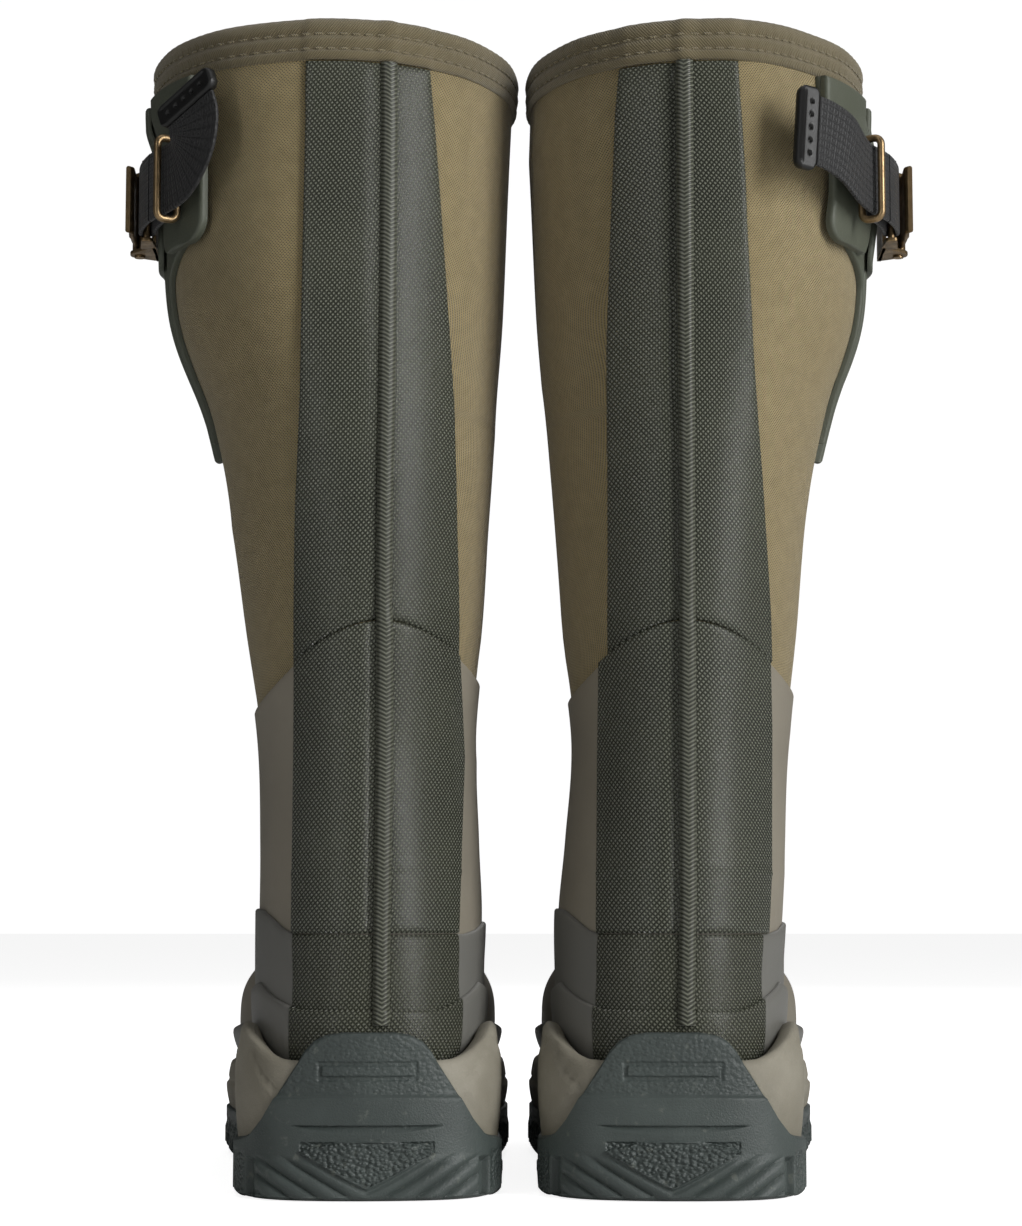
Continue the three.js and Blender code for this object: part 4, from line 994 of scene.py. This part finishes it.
def heel_relief(x, z):
    """Relief on the heel, in mm: a ledge at 35 mm, a lens crease at 25, a grained shield that
    points down, ribs that follow the shield's edge, and corner blocks."""
    far = np.abs(x)
    ledge = 1.3 / (1 + np.exp((z - 35.0 + .0004 * x**2) / .22))
    lens_low = 22.3 + .0045 * x**2
    lens = np.clip((25.4 - z) / .35, 0, 1) * np.clip((z - lens_low) / (25.4 - lens_low + .01), 0, 1)
    lens = -1.5 * lens * (far < 26.5)
    tip = 4.4 + 11.5 * (far / 21) ** 1.15
    brow = 20.4 - .0075 * x**2
    shield_d = np.minimum(z - tip, (brow - z) * 1.2)
    shield = 1.1 * np.clip((shield_d + .4) / .8, 0, 1) * (far < 22.5)
    away = (tip - z) * .72
    fade = np.clip((away - .5) / 1.0, 0, 1) * np.clip((15.8 - z) / 3.5, 0, 1)
    fade = fade * np.clip((37.5 - far) / 1.5, 0, 1)
    ribs = 1.6 * (np.abs(np.sin(away * pi / 4.3 + .35)) ** .7 - .6) * fade
    notch = -2.6 * np.clip((1.9 - np.abs(far - 38.6)) / .7, 0, 1) * np.clip((14.5 - z) / 2, 0, 1)
    badge = .8 * np.clip((1.9 - np.abs(z - 43.2)) / .5, 0, 1) * np.clip((15.5 - far) / .5, 0, 1)
    trench = -.5 * np.clip((3.4 - np.abs(z - 43.2)) / .5, 0, 1) * np.clip((17.0 - far) / .5, 0, 1)
    return ledge + lens + shield + ribs + notch + badge + trench


def moulded(wire):
    """Hard rubber: leathery pebbles in the grained areas, fine stipple elsewhere, pale dusty patches."""
    place, map_place = wire.node("TexCoord", {}, {}, 3), cloth_place(wire)
    pebble = wire.node("TexVoronoi", {"feature": "SMOOTH_F1"},
                       {"Vector": wire.node("Mapping", {}, {0: place, 3: (1.0, 1.0, 1.35)}),
                        "Scale": 640.0, "Smoothness": .6})
    stipple, bloom = wire.cloudy(place, 1600.0, 3.0), wire.cloudy(place, 22.0, 4.0)
    a, b = across_up(wire, map_place)
    far = abs(a)
    shield = (b - far * .5 - .0046).sharpened(0.0, .0008) * (.0202 - b).sharpened(0.0, .0008)
    shield = shield * (.0225 - far).sharpened(0.0, .001)
    crown = (b - .0352).sharpened(0.0, .0008)
    corner = (far - .0402).sharpened(0.0, .001) * (.0165 - b).sharpened(0.0, .0015)
    grained = shield + crown * .22 + corner * .8
    colour = bloom.sharpened(.3, .75).blended(shade(58, 65, 63), shade(77, 85, 82))
    colour = (stipple * .25).blended(colour, shade(60, 66, 64))
    colour = (wire.cloudy(place, 300.0, 5.0).sharpened(.6, .75) * .35).blended(
        colour, shade(122, 126, 116))
    return {"Base Color": colour, "Roughness": stipple * .12 + .44,
            "height": pebble * grained * -2.6 + stipple * .35, "depth": .0006}


MOULDED = finish("outsole_rubber", moulded)
TAB_EDGE, TAB_THICK, BLOCK_TOP = 1.7, 4.6, 19.0
edge, out, run, girth = outline(640)
signed = np.where(run > girth / 2, run - girth, run)
for hand in (-1, 1):
    x, y = edge[:, 0], edge[:, 1]
    behind = (y < 27.5)[None]
    rings = np.concatenate([np.linspace(1, .95, 4), np.linspace(.93, 0, 34)])[:, None]
    middle = np.stack([np.interp(y, [0, 205, 305], [0, 2, -6]), np.clip(y, 44, 256)], 1)
    plan = middle[None] + (edge - middle)[None] * rings[..., None]
    face = underside(plan[..., 1]) + tread(plan[..., 0], plan[..., 1])
    face = face + 1.6 * np.clip((rings - .95) / .05, 0, 1) ** 2
    bottom = np.concatenate([plan, face[..., None]], 2)
    bottom[:, :, 2] = np.where((plan[..., 1] < 26), np.maximum(face, .4), face)
    t = np.array([0, .04, .15, .3, .45, .6, .75, .9, .97, 1])[:, None]
    foot = face[0][None]
    z = foot + (BLOCK_TOP - foot) * t
    relief = -.9 * np.clip(1 - np.abs(z - 12.5) / .9, 0, 1) - .8 * (t < .02) - .5 * (t > .99)
    relief = relief + .5 * np.sin(signed * 2 * pi / 10.5)[None] * (z < 11.5)
    inset = np.where(behind, -3.0, relief)
    wall = np.concatenate([edge + out * inset[..., None], z[..., None]], 2)
    crown = np.concatenate([middle[None] + (edge + out * inset[-1:].T - middle)[None]
                            * np.array([.9, .5, .0])[:, None, None],
                            np.full((3, len(edge), 1), BLOCK_TOP)], 2)
    skin_grid = np.concatenate([bottom[::-1], wall, crown])
    heights = np.hstack([skin_grid[..., 2], skin_grid[:, :1, 2]])
    uv = np.stack([np.append(signed, signed[0])[None] + 120 + 0 * heights, heights], -1)
    parts = [lay(skin_grid, uv, True)]

    reach_x = np.linspace(-1, 1, 321)
    over = np.argsort(signed)
    end = float(np.interp(27.5, edge[(signed > 0) & (signed < 90), 1],
                          signed[(signed > 0) & (signed < 90)]))
    s = np.sign(reach_x) * np.abs(reach_x) ** .97 * end
    px, py = (np.interp(s, signed[over], edge[over, k]) for k in (0, 1))
    nx, ny = (np.interp(s, signed[over], out[over, k]) for k in (0, 1))
    sill = .5 + np.where(np.abs(px) > 41, 4.5 - np.sqrt(np.maximum(
        20.2 - (np.abs(px) - 41) ** 2, 0)), 0)
    rows = np.concatenate([[0, .004, .012, .024], np.linspace(.035, .975, 190), [.985, .993, .998, 1]])
    z = sill + (tab_top(px) - sill) * rows[:, None]
    rim = np.minimum(rows, 1 - rows)[:, None] * (tab_top(px) - sill)
    roll = -TAB_EDGE * (1 - quarter(rim, TAB_EDGE))
    rise = heel_relief(px + 0 * z, z) * np.clip(rim / 1.2, 0, 1) + roll
    outer = np.stack([px + nx * rise, py + ny * rise, z], -1)
    inner = np.stack([px - nx * TAB_THICK + 0 * z, py - ny * TAB_THICK + 0 * z, z], -1)
    uv = np.stack([px + 0 * z, z], -1)
    parts += shut(outer, inner, uv)
    piece("outsole", hand, parts, MOULDED, ["outsole"], crease=48)

# ---------------------------------------------------------------- gusset trim and patches
# Green moulded rubber edges the slot, and two rubber patches beside it carry the ring and the
# buckle. They are cemented to the neoprene and sewn; the rear one runs down the slot as a tail.

TRIM = finish("trim_rubber", satin_rubber(shade(66, 70, 60), shade(88, 91, 78), .5, 1300.0, .00014))


def side_panel(y0, y1, z, low, high, roll, columns=26, lift=0.0):
    """A panel on the outer side, between two edges given as y at each height z."""
    w0, w1 = reach(y0, z, 1, 1), reach(y1, z, 1, 1)
    s = shares(30, 30 / columns, 1.6)
    w = w0[:, None] + (w1 - w0)[:, None] * s
    u, v = wrap(w, z[:, None] + 0 * w)
    return slab(u, v, low, high, np.stack([w, z[:, None] + 0 * w], -1), roll, lift)


def eased(z, low, high):
    """A smooth step from 0 at low to 1 at high."""
    t = np.clip((z - low) / (high - low), 0, 1)
    return t * t * (3 - 2 * t)


for hand in (-1, 1):
    z = 268 + (STRIP_TOP - 268) * shares(124, 1.6)
    y1 = slot_edge(z, False) - .4
    width = 1.4 + 2.4 * eased(z, 275, 318) + 27.2 * eased(z, 322, 341)
    ring_patch = side_panel(y1 - width, y1, z, .2, 2.6, 1.3)
    z = 333 + (STRIP_TOP - 333) * shares(59, 1.6)
    bow = quarter(z - 333, 8)
    ring_pad = side_panel(34 - 6.5 * bow, 50 + 6 * bow, z, 2.4, 5.4, 1.4)
    piece("ring_patch", hand, ring_patch + ring_pad, TRIM, ["ring_patch"])
    z = 262 + (STRIP_TOP - 262) * shares(130, 1.6)
    y0 = slot_edge(z, True) + .4
    trim_width = 3 + 8 * eased(z, 258, 285)
    piece("gusset_trim", hand, side_panel(y0, y0 + trim_width, z, .2, 3.4, 1.6, 12), TRIM,
          ["gusset_trim"])
    z = 332 + (STRIP_TOP - 332) * shares(60, 1.6)
    bow = quarter(z - 332, 7)
    piece("buckle_patch", hand, side_panel(74 - 7 * bow, 99 + 7 * bow, z, 3.5, 5.5, 1.4), TRIM,
          ["buckle_patch"])

# ---------------------------------------------------------------- strap and tail
# Black 25 mm polyamide webbing, sewn under the ring patch, runs forward over the slot, turns
# round the buckle's bar and comes back through the ring; its tail hangs free behind it.

STRAP_Z, STRAP_WIDE, STRAP_THICK = 356.0, 25.0, 1.7
UNDER_OFF, BAR_TURN = 6.95, 2.45


def standing(angle, off, z):
    """A point that stands off the leg at an angle round its section, in degrees."""
    v = (RIM - np.asarray(z, float)) / 258 * 6
    return on_last(np.radians(angle), v, np.asarray(off, float) + 0 * v)


BAR_AT = standing(80.0, UNDER_OFF + BAR_TURN, np.array(STRAP_Z))


def smoothed(rows, count):
    """Evenly numbered stations on a Catmull-Rom spline through the given rows."""
    rows = np.asarray(rows, float)
    table = np.vstack([2 * rows[0] - rows[1], rows, 2 * rows[-1] - rows[-2]])
    at = np.linspace(0, len(rows) - 1, count)
    i = np.minimum(at.astype(int), len(rows) - 2)
    f = (at - i)[:, None]
    return spline(table, i, f)


def ribbon(at, wide, out, width, thick):
    """Webbing: a rounded flat profile carried along stations, closed at both ends. Its pattern
    runs along the length and across the width."""
    w = np.array([-1, -.985, -.94, -.5, 0, .5, .94, .985, 1, 1, .985, .94, .5, 0, -.5, -.94, -.985,
                  -1])
    t = np.array([.3, .75, 1, 1, 1, 1, 1, .75, .3, -.3, -.75, -1, -1, -1, -1, -1, -.75, -.3])
    grid = (at[:, None] + wide[:, None] * (w * width / 2)[:, None]
            + out[:, None] * (t * thick / 2)[:, None])
    caps = [np.repeat(at[k][None, None], len(w), 1) for k in (0, -1)]
    grid = np.concatenate([caps[0], grid, caps[1]])
    run = running(at)
    run = np.concatenate([run[:1], run, run[-1:]])
    turns = np.append(w, w[0]) * width / 2
    uv = np.stack([run[:, None] + 0 * turns, turns[None] + 0 * run[:, None]], -1)
    return lay(grid, uv, True)


def webbed(wire):
    """A plain weave of thick filament yarns, 1.3 mm apart both ways."""
    a, b = across_up(wire, cloth_place(wire))
    a, b = a * 760.0, b * 760.0
    pick = 1 - a.cell() * 1.6
    rib = 1 - b.cell() * 1.7
    over = (a * .5).cell().maths("GREATER_THAN", (a * .5).cell(), (b * .5).cell())
    weave = over * pick + (1 - over) * rib
    fibre = wire.cloudy(cloth_place(wire), 3000.0, 2.0)
    colour = (weave * .8 + fibre * .2).blended(shade(8, 8, 9), shade(31, 31, 32))
    return {"Base Color": colour, "Roughness": fibre * .2 + .5, "Sheen Weight": .12,
            "height": weave + fibre * .15, "depth": .0003}


WEBBING = finish("strap_webbing", webbed)
TAILS = {-1: [(65, 0, 11.6, 0), (60, 0, 11.4, 0), (55, 0, 11.2, 2), (49.1, .9, 11.4, 20),
              (45.2, 4.0, 11.8, 42), (41.8, 9.5, 12.4, 70), (40.2, 16.0, 13.2, 96),
              (40.8, 20.5, 13.8, 112)],
         1: [(65, 0, 11.6, 0), (60, 0, 11.4, 0), (54, 0, 11.2, 1), (48, 1.9, 12.0, 9),
             (41, 6.4, 13.4, 14), (34, 9.0, 14.4, 8), (29.5, 9.9, 15.0, 4)]}
TAIL_END = {}
for hand in (-1, 1):
    bend = np.radians([-70, -35, 0, 35, 70])
    round_bar = BAR_AT + np.stack([np.sin(bend), np.cos(bend), 0 * bend], 1) * BAR_TURN
    under = standing(np.array([60, 64, 68, 72, 75.0]), UNDER_OFF, np.full(5, STRAP_Z))
    over = standing(np.array([77, 74, 70, 65.3]), UNDER_OFF + 2 * BAR_TURN, np.full(4, STRAP_Z))
    path = smoothed(np.vstack([under, round_bar, over]), 90)
    path[:, 2] = STRAP_Z
    heading = np.gradient(path, axis=0)
    heading /= np.linalg.norm(heading, axis=1, keepdims=True)
    out = np.stack([-heading[:, 1], heading[:, 0], 0 * heading[:, 0]], 1)
    up = np.tile((0, 0, 1.0), (len(path), 1))
    piece("strap", hand, [ribbon(path, up, out, STRAP_WIDE, STRAP_THICK)], WEBBING,
          ["strap"], settled=False)

    angle, rise, off, tilt = smoothed(TAILS[hand], 70).T
    z = STRAP_Z + rise
    foot, proud = standing(angle, 0 * off, z), standing(angle, 1 + 0 * off, z)
    out = proud - foot
    out /= np.linalg.norm(out, axis=1, keepdims=True)
    back = np.cross((0, 0, 1.0), out)
    back /= np.linalg.norm(back, axis=1, keepdims=True)
    lean = np.radians(tilt)[:, None]
    wide = np.cross(out, back) * np.cos(lean) + back * np.sin(lean)
    at = foot + out * off[:, None]
    at[:, 2] = z
    piece("strap_tail", hand, [ribbon(at, wide, out, STRAP_WIDE, STRAP_THICK)], WEBBING,
          ["strap_tail"], settled=False)
    TAIL_END[hand] = at[-1], wide[-1], out[-1]

# ---------------------------------------------------------------- strap tip
# A soft black moulded tip closes the tail. It has a raised rib along its end and a row of five
# blind holes, and is welded over the webbing.

TIP_LONG, TIP_HALF, TIP_THICK = 9.0, 15.0, 4.0


def matt_black(wire):
    place = wire.node("TexCoord", {}, {}, 3)
    grain = wire.cloudy(place, 2200.0, 3.0)
    smear = wire.cloudy(place, 90.0, 4.0)
    return {"Base Color": smear.blended(shade(11, 11, 11), shade(27, 27, 26)),
            "Roughness": smear * .2 + .34, "height": grain, "depth": .00006}


TIP_RUBBER = finish("tip_rubber", matt_black)
for hand in (-1, 1):
    end, wide, out = TAIL_END[hand]
    along = np.cross(out, wide)
    t = 2 * shares(2 * TIP_HALF, .5, 1.2) - 1
    s = 2 * shares(TIP_LONG, .35, 1.2) - 1
    rounding = 3.6
    past = np.clip(np.abs(t) * TIP_HALF - (TIP_HALF - rounding), 0, rounding)
    half = TIP_LONG / 2 - (rounding - np.sqrt(np.maximum(rounding**2 - past**2, 0)))
    px = half[:, None] * s[None]
    py = TIP_HALF * t[:, None] + 0 * px
    near = np.minimum(TIP_LONG / 2 - np.abs(px) - (TIP_LONG / 2 - half)[:, None],
                      TIP_HALF - np.abs(py))
    roll = quarter(near, 1.2)
    rib = .5 * hump(px - 2.7, .5) * np.clip(TIP_HALF - 2 - np.abs(py), 0, 1)
    holes = sum(1.1 * np.clip(1.45 - np.hypot(px + .6, py - 4.6 * k) * 1.45, 0, 1)
                for k in range(-2, 3))
    faces = []
    for sign_out in (1, -1):
        height = sign_out * (TIP_THICK / 2 * roll + (rib - holes) * roll)
        centre = end + along * (TIP_LONG / 2 + .3)
        faces.append(centre + px[..., None] * along + py[..., None] * wide
                     + height[..., None] * out)
    uv = np.stack([px, py], -1)
    piece("strap_tip", hand, shut(faces[0], faces[1], uv), TIP_RUBBER,
          ["strap_tip"], settled=False)

# ---------------------------------------------------------------- keeper ring
# A rectangular ring of antiqued brass wire. Its inner bar turns in the patch's tunnel, and the
# strap's tail passes under its outer bar.

RING_REACH, RING_BAR, RING_CLEAR = 7.8, 2.7, .8


def antique(wire):
    """Brass darkened in the hollows and rubbed bright on the edges and high spots."""
    place = wire.node("TexCoord", {}, {}, 3)
    worn = wire.node("NewGeometry", {}, {}, 7).sharpened(.49, .56)
    cloud, fine = wire.cloudy(place, 260.0, 5.0, .6), wire.cloudy(place, 2600.0, 3.0)
    rubbed = cloud.sharpened(.25, .85) * .6 + worn * .6
    bright = rubbed.maths("MINIMUM", rubbed, 1.0)
    colour = bright.blended(shade(50, 41, 31), shade(160, 136, 102))
    return {"Base Color": colour, "Metallic": .92, "Roughness": .46 - bright * .16 + fine * .1,
            "height": cloud * .5 + fine * .3, "depth": .00008}


BRASS = finish("antique_brass", antique)


def rod(path, radius, closed=False, sides=12, squash=1.0):
    """A round bar along a path: circles across the heading, joined up or closed by its ends."""
    n = len(path)
    heading = (np.roll(path, -1, 0) - np.roll(path, 1, 0)) if closed else np.gradient(path, axis=0)
    heading /= np.linalg.norm(heading, axis=1, keepdims=True)
    side = np.cross(heading, (.3, .2, .9) if abs(heading[:, 2]).max() < .9 else (.1, 1, .15))
    side /= np.linalg.norm(side, axis=1, keepdims=True)
    other = np.cross(heading, side)
    turn = np.arange(sides) * 2 * pi / sides
    grid = (path[:, None] + side[:, None] * (radius * np.cos(turn))[:, None]
            + other[:, None] * (radius * squash * np.sin(turn))[:, None])
    if closed:
        grid = np.concatenate([grid, grid[:1]])
    else:
        grid = np.concatenate([np.repeat(path[:1, None], sides, 1), grid,
                               np.repeat(path[-1:, None], sides, 1)])
    run = np.arange(len(grid))[:, None] + 0.0 * np.append(turn, 0)
    return lay(grid, np.stack([run, 0 * run + np.append(turn, 2 * pi)], -1), True)


def corner_loop(low, high, radius, steps=7):
    """A rounded rectangle's points, corner by corner."""
    turn = np.linspace(0, pi / 2, steps)
    corners = []
    for cx, cz, start in ((high[0] - radius, high[1] - radius, 0), (low[0] + radius, high[1] - radius, 1),
                          (low[0] + radius, low[1] + radius, 2), (high[0] - radius, low[1] + radius, 3)):
        a = turn + start * pi / 2
        corners.append(np.stack([cx + radius * np.cos(a), cz + radius * np.sin(a)], 1))
    loop = np.vstack(corners)
    closed = np.vstack([loop, loop[:1]])
    run = running(closed)
    even = np.linspace(0, run[-1], 97)[:-1]
    return np.stack([np.interp(even, run, closed[:, k]) for k in (0, 1)], 1)


ROOT = standing(55.0, 5.5 + .3 + RING_BAR / 2, np.array(STRAP_Z))
OUTER = standing(55.0, 5.5 + .3 + RING_BAR / 2 + RING_REACH, np.array(STRAP_Z))
for hand in (-1, 1):
    away = OUTER - ROOT
    away[2] = 0
    away /= np.linalg.norm(away)
    half = STRAP_WIDE / 2 + RING_CLEAR + RING_BAR / 2
    flat = corner_loop((0, -half), (RING_REACH, half), 2.6)
    path = ROOT * (1, 1, 0) + flat[:, :1] * away + np.stack(
        [0 * flat[:, 0], 0 * flat[:, 0], STRAP_Z + flat[:, 1]], 1)
    piece("keeper_ring", hand, [rod(path, RING_BAR / 2, True)], BRASS,
          ["keeper_ring"], body="ring", crease=60, settled=False)

# ---------------------------------------------------------------- buckle
# A cam buckle of the same brass: a base plate riveted to the front patch, a triangular ear at
# each end, a fixed bar that the strap turns round, and a lever on a pin that nips the strap.

PLATE_AT = float(standing(90.0, 0.0, np.array(STRAP_Z))[0]) + 5.8
EAR_IN = STRAP_WIDE / 2 + 1.2
PIN_X, PIN_Y = PLATE_AT + 7.1, 72 + 23 * .62


def plate(corners, low, high, bevel, swap=False):
    """A flat plate from a convex outline, its rims bevelled and its faces fanned to the middle.
    It lies in plan between two heights."""
    corners = np.asarray(corners, float)
    fine = []
    for start, end in zip(corners, np.roll(corners, -1, 0)):
        fine.append(start + (end - start) * np.linspace(0, 1, 9)[:-1, None])
    ring = np.vstack(fine)
    centre = ring.mean(0)
    reach_out = np.linalg.norm(ring - centre, axis=1, keepdims=True)
    inward = (centre - ring) / reach_out
    steps = [(None, low), (bevel, low), (bevel * .3, low + bevel * .3), (0, low + bevel),
             (0, high - bevel), (bevel * .3, high - bevel * .3), (bevel, high), (None, high)]
    rows = [np.column_stack([(centre + 0 * ring) if b is None else ring + inward * b,
                             np.full(len(ring), z)]) for b, z in steps]
    grid = np.stack(rows)
    uv = np.stack([np.arange(len(ring) + 1)[None] + 0.0 * np.arange(8)[:, None],
                   np.arange(8)[:, None] + 0.0 * np.arange(len(ring) + 1)[None]], -1)
    return lay(grid, uv, True)


def rounded_outline(points, radius, steps=5):
    """A convex outline whose corners are cut round: a quadratic curve across each corner."""
    points = np.asarray(points, float)
    made = []
    for before, here, after in zip(np.roll(points, 1, 0), points, np.roll(points, -1, 0)):
        back, ahead = before - here, after - here
        start = here + back / np.linalg.norm(back) * min(radius, np.linalg.norm(back) * .45)
        end = here + ahead / np.linalg.norm(ahead) * min(radius, np.linalg.norm(ahead) * .45)
        t = np.linspace(0, 1, steps)[:, None]
        made.append((1 - t) ** 2 * start + 2 * t * (1 - t) * here + t * t * end)
    return np.vstack(made)


for hand in (-1, 1):
    bar_x, bar_y = BAR_AT[0], BAR_AT[1]
    outer_edge = EAR_IN + 1.5
    parts = [plate([(PLATE_AT, 72), (PLATE_AT + 1.5, 72), (PLATE_AT + 1.5, 95), (PLATE_AT, 95)],
                   STRAP_Z - outer_edge, STRAP_Z + outer_edge, .35)]
    bar_z = np.linspace(STRAP_Z - EAR_IN - .8, STRAP_Z + EAR_IN + .8, 12)
    parts.append(rod(np.stack([bar_x + 0 * bar_z, bar_y + 0 * bar_z, bar_z], 1), 1.3))
    for low in (STRAP_Z - outer_edge, STRAP_Z + EAR_IN):
        ear = rounded_outline([(PLATE_AT, 72), (PIN_X + 3.6, PIN_Y - 2.6), (PIN_X + 3.6, PIN_Y + 2.6),
                               (PLATE_AT, 95)], 2.4)
        arm = rounded_outline([(bar_x - 2, bar_y - 2), (bar_x + 2, bar_y - 2),
                               (PLATE_AT + 6, 76), (PLATE_AT, 76), (PLATE_AT, 72)], 1.2)
        parts += [plate(ear, low, low + 1.5, .35), plate(arm, low + .02, low + 1.48, .35)]
    piece("buckle_frame", hand, parts, BRASS, ["buckle_frame"], settled=False)

    pin_z = STRAP_Z + np.array([-1, -.99, 0, .99, 1]) * (EAR_IN + 2.1)
    heads = [rod(np.array([(PIN_X, PIN_Y, z0), (PIN_X, PIN_Y, z0 + .3), (PIN_X, PIN_Y, z0 + .7)]),
                 2.0, sides=20) for z0 in (STRAP_Z - EAR_IN - 2.3, STRAP_Z + EAR_IN + 1.6)]
    pin = rod(np.stack([PIN_X + 0 * pin_z, PIN_Y + 0 * pin_z, pin_z], 1), 1.25, sides=20)
    piece("lever_pin", hand, [pin] + heads, BRASS, ["lever_pin"], settled=False)

    half, long = EAR_IN - .6, 24.0
    tip_x = bar_x + BAR_TURN + STRAP_THICK / 2 + 1.2
    hub_z = STRAP_Z + np.linspace(-half, half, 10)
    hub = rod(np.stack([PIN_X + 0 * hub_z, PIN_Y + 0 * hub_z, hub_z], 1), 2.8, sides=24)
    run = np.linspace(0, 1, 26)[:, None]
    t = 2 * shares(2 * half, 1.2, .8) - 1
    pinch = 1 - .05 * eased(run, .75, 1.0)
    mid_x = PIN_X + .7 + (tip_x + .9 - PIN_X - .7) * run + .5 * np.sin(run * pi)
    mid_x = mid_x + 1.4 * np.clip((run - .9) / .1, 0, 1) ** 2
    mid_y = PIN_Y - (long + 1.6) * run
    swell = np.sqrt(np.clip(1 - (2 * np.clip(np.abs(t) - .93, 0, .07) / .14) ** 2, .05, 1))
    ridge = .35 * (hump(run - .82, .03) + hump(run - .72, .03))
    grids = []
    for lean, extra in ((.85, ridge), (-.85, 0)):
        grids.append(np.stack([mid_x + (lean + extra) * swell[None], mid_y + 0 * t[None],
                               STRAP_Z + half * t[None] * pinch], -1))
    place = np.stack([mid_y + 0 * t[None], half * t[None] + 0 * mid_y], -1)
    piece("buckle_lever", hand, [hub] + shut(grids[0], grids[1], place), BRASS,
          ["buckle_lever"], body="lever", settled=False)

    h = np.array([0, .001, .35, .7, 1.2, 1.55, 1.7])
    r = 3.5 * np.array([0, 1, 1, .96, .74, .4, 0])
    turn = np.linspace(0, 2 * pi, 33)[:-1]
    dome = np.stack([PLATE_AT + 1.8 + h[:, None] + 0 * turn, 78 + r[:, None] * np.cos(turn),
                     STRAP_Z + r[:, None] * np.sin(turn)], -1)
    place = np.stack([h[:, None] + 0 * np.append(turn, 0), 0 * h[:, None] + np.append(turn, 7)], -1)
    piece("buckle_rivet", hand, [lay(dome, place, True)], BRASS,
          ["buckle_rivet"], settled=False)

# ---------------------------------------------------------------- stage
# A pale studio floor under an even sky, a broad soft light on the right and a narrow one on the
# left, one above and one behind, and a long lens low behind the heels, tipped up a little.

def stage_grey(wire):
    place = wire.node("TexCoord", {}, {}, 3)
    glow = wire.node("LightPath", {}, {}, 0) * .87
    return {"Base Color": wire.cloudy(place, 3.0).blended(shade(244, 244, 243), shade(250, 250, 250)),
            "Emission Color": glow.blended(shade(0, 0, 0), shade(255, 255, 255)),
            "Emission Strength": 1.0, "Roughness": .9}


sweep = bpy.data.meshes.new("studio_floor")
spread = 14.0
sweep.from_pydata([(-spread, -spread, 0), (spread, -spread, 0), (spread, spread, 0),
                   (-spread, spread, 0)], [], [(0, 1, 2, 3)])
floor = bpy.data.objects.new("studio_floor", sweep)
bpy.context.scene.collection.objects.link(floor)
sweep.materials.append(finish("studio_floor", stage_grey))
floor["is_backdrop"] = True

sky = bpy.data.worlds.new("studio_sky")
sky.use_nodes = True
tree = sky.node_tree
backdrop = tree.nodes["Background"]
backdrop.inputs["Color"].default_value = (1, 1, 1, 1)
seen = Wire(tree).node("LightPath", {}, {}, 0)
tree.links.new((seen * .97 + .05).socket, backdrop.inputs["Strength"])
bpy.context.scene.world = sky

for name, at, aim, size, power in (
        ("left_softbox", (-1.15, -1.75, .7), (0, -.1, .2), (.12, 1.5), 5),
        ("right_softbox", (1.75, -1.45, .9), (0, -.1, .2), (.8, 1.5), 50),
        ("top_softbox", (0, -.3, 1.9), (0, -.1, .2), (1.4, 1.0), 6),
        ("far_softbox", (.6, 2.0, 1.4), (0, 0, .2), (1.6, 1.2), 6)):
    lamp = bpy.data.lights.new(name, "AREA")
    lamp.shape, lamp.size, lamp.size_y, lamp.energy = "RECTANGLE", size[0], size[1], power
    holder = bpy.data.objects.new(name, lamp)
    holder.location = at
    aim_way = np.array(aim) - np.array(at)
    flat = float(np.hypot(aim_way[0], aim_way[1]))
    holder.rotation_euler = (np.arctan2(flat, -aim_way[2]), 0,
                             np.arctan2(aim_way[0], -aim_way[1]) + pi)
    bpy.context.scene.collection.objects.link(holder)

lens = bpy.data.cameras.new("studio_camera")
lens.lens, lens.sensor_width, lens.sensor_fit = 82.5, 36.0, "AUTO"
lens.clip_start, lens.clip_end = .02, 60.0
camera = bpy.data.objects.new("studio_camera", lens)
camera.location = (-.003, -1.1003, .095)
camera.rotation_euler = (radians(96.15), 0, 0)
bpy.context.scene.collection.objects.link(camera)
bpy.context.scene.camera = camera
bpy.context.scene.view_settings.view_transform = "Standard"

plain = lambda pair: [list(map(float, corner)) for corner in pair]
{"cad": plain(cad_box), "visual": plain(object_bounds())}
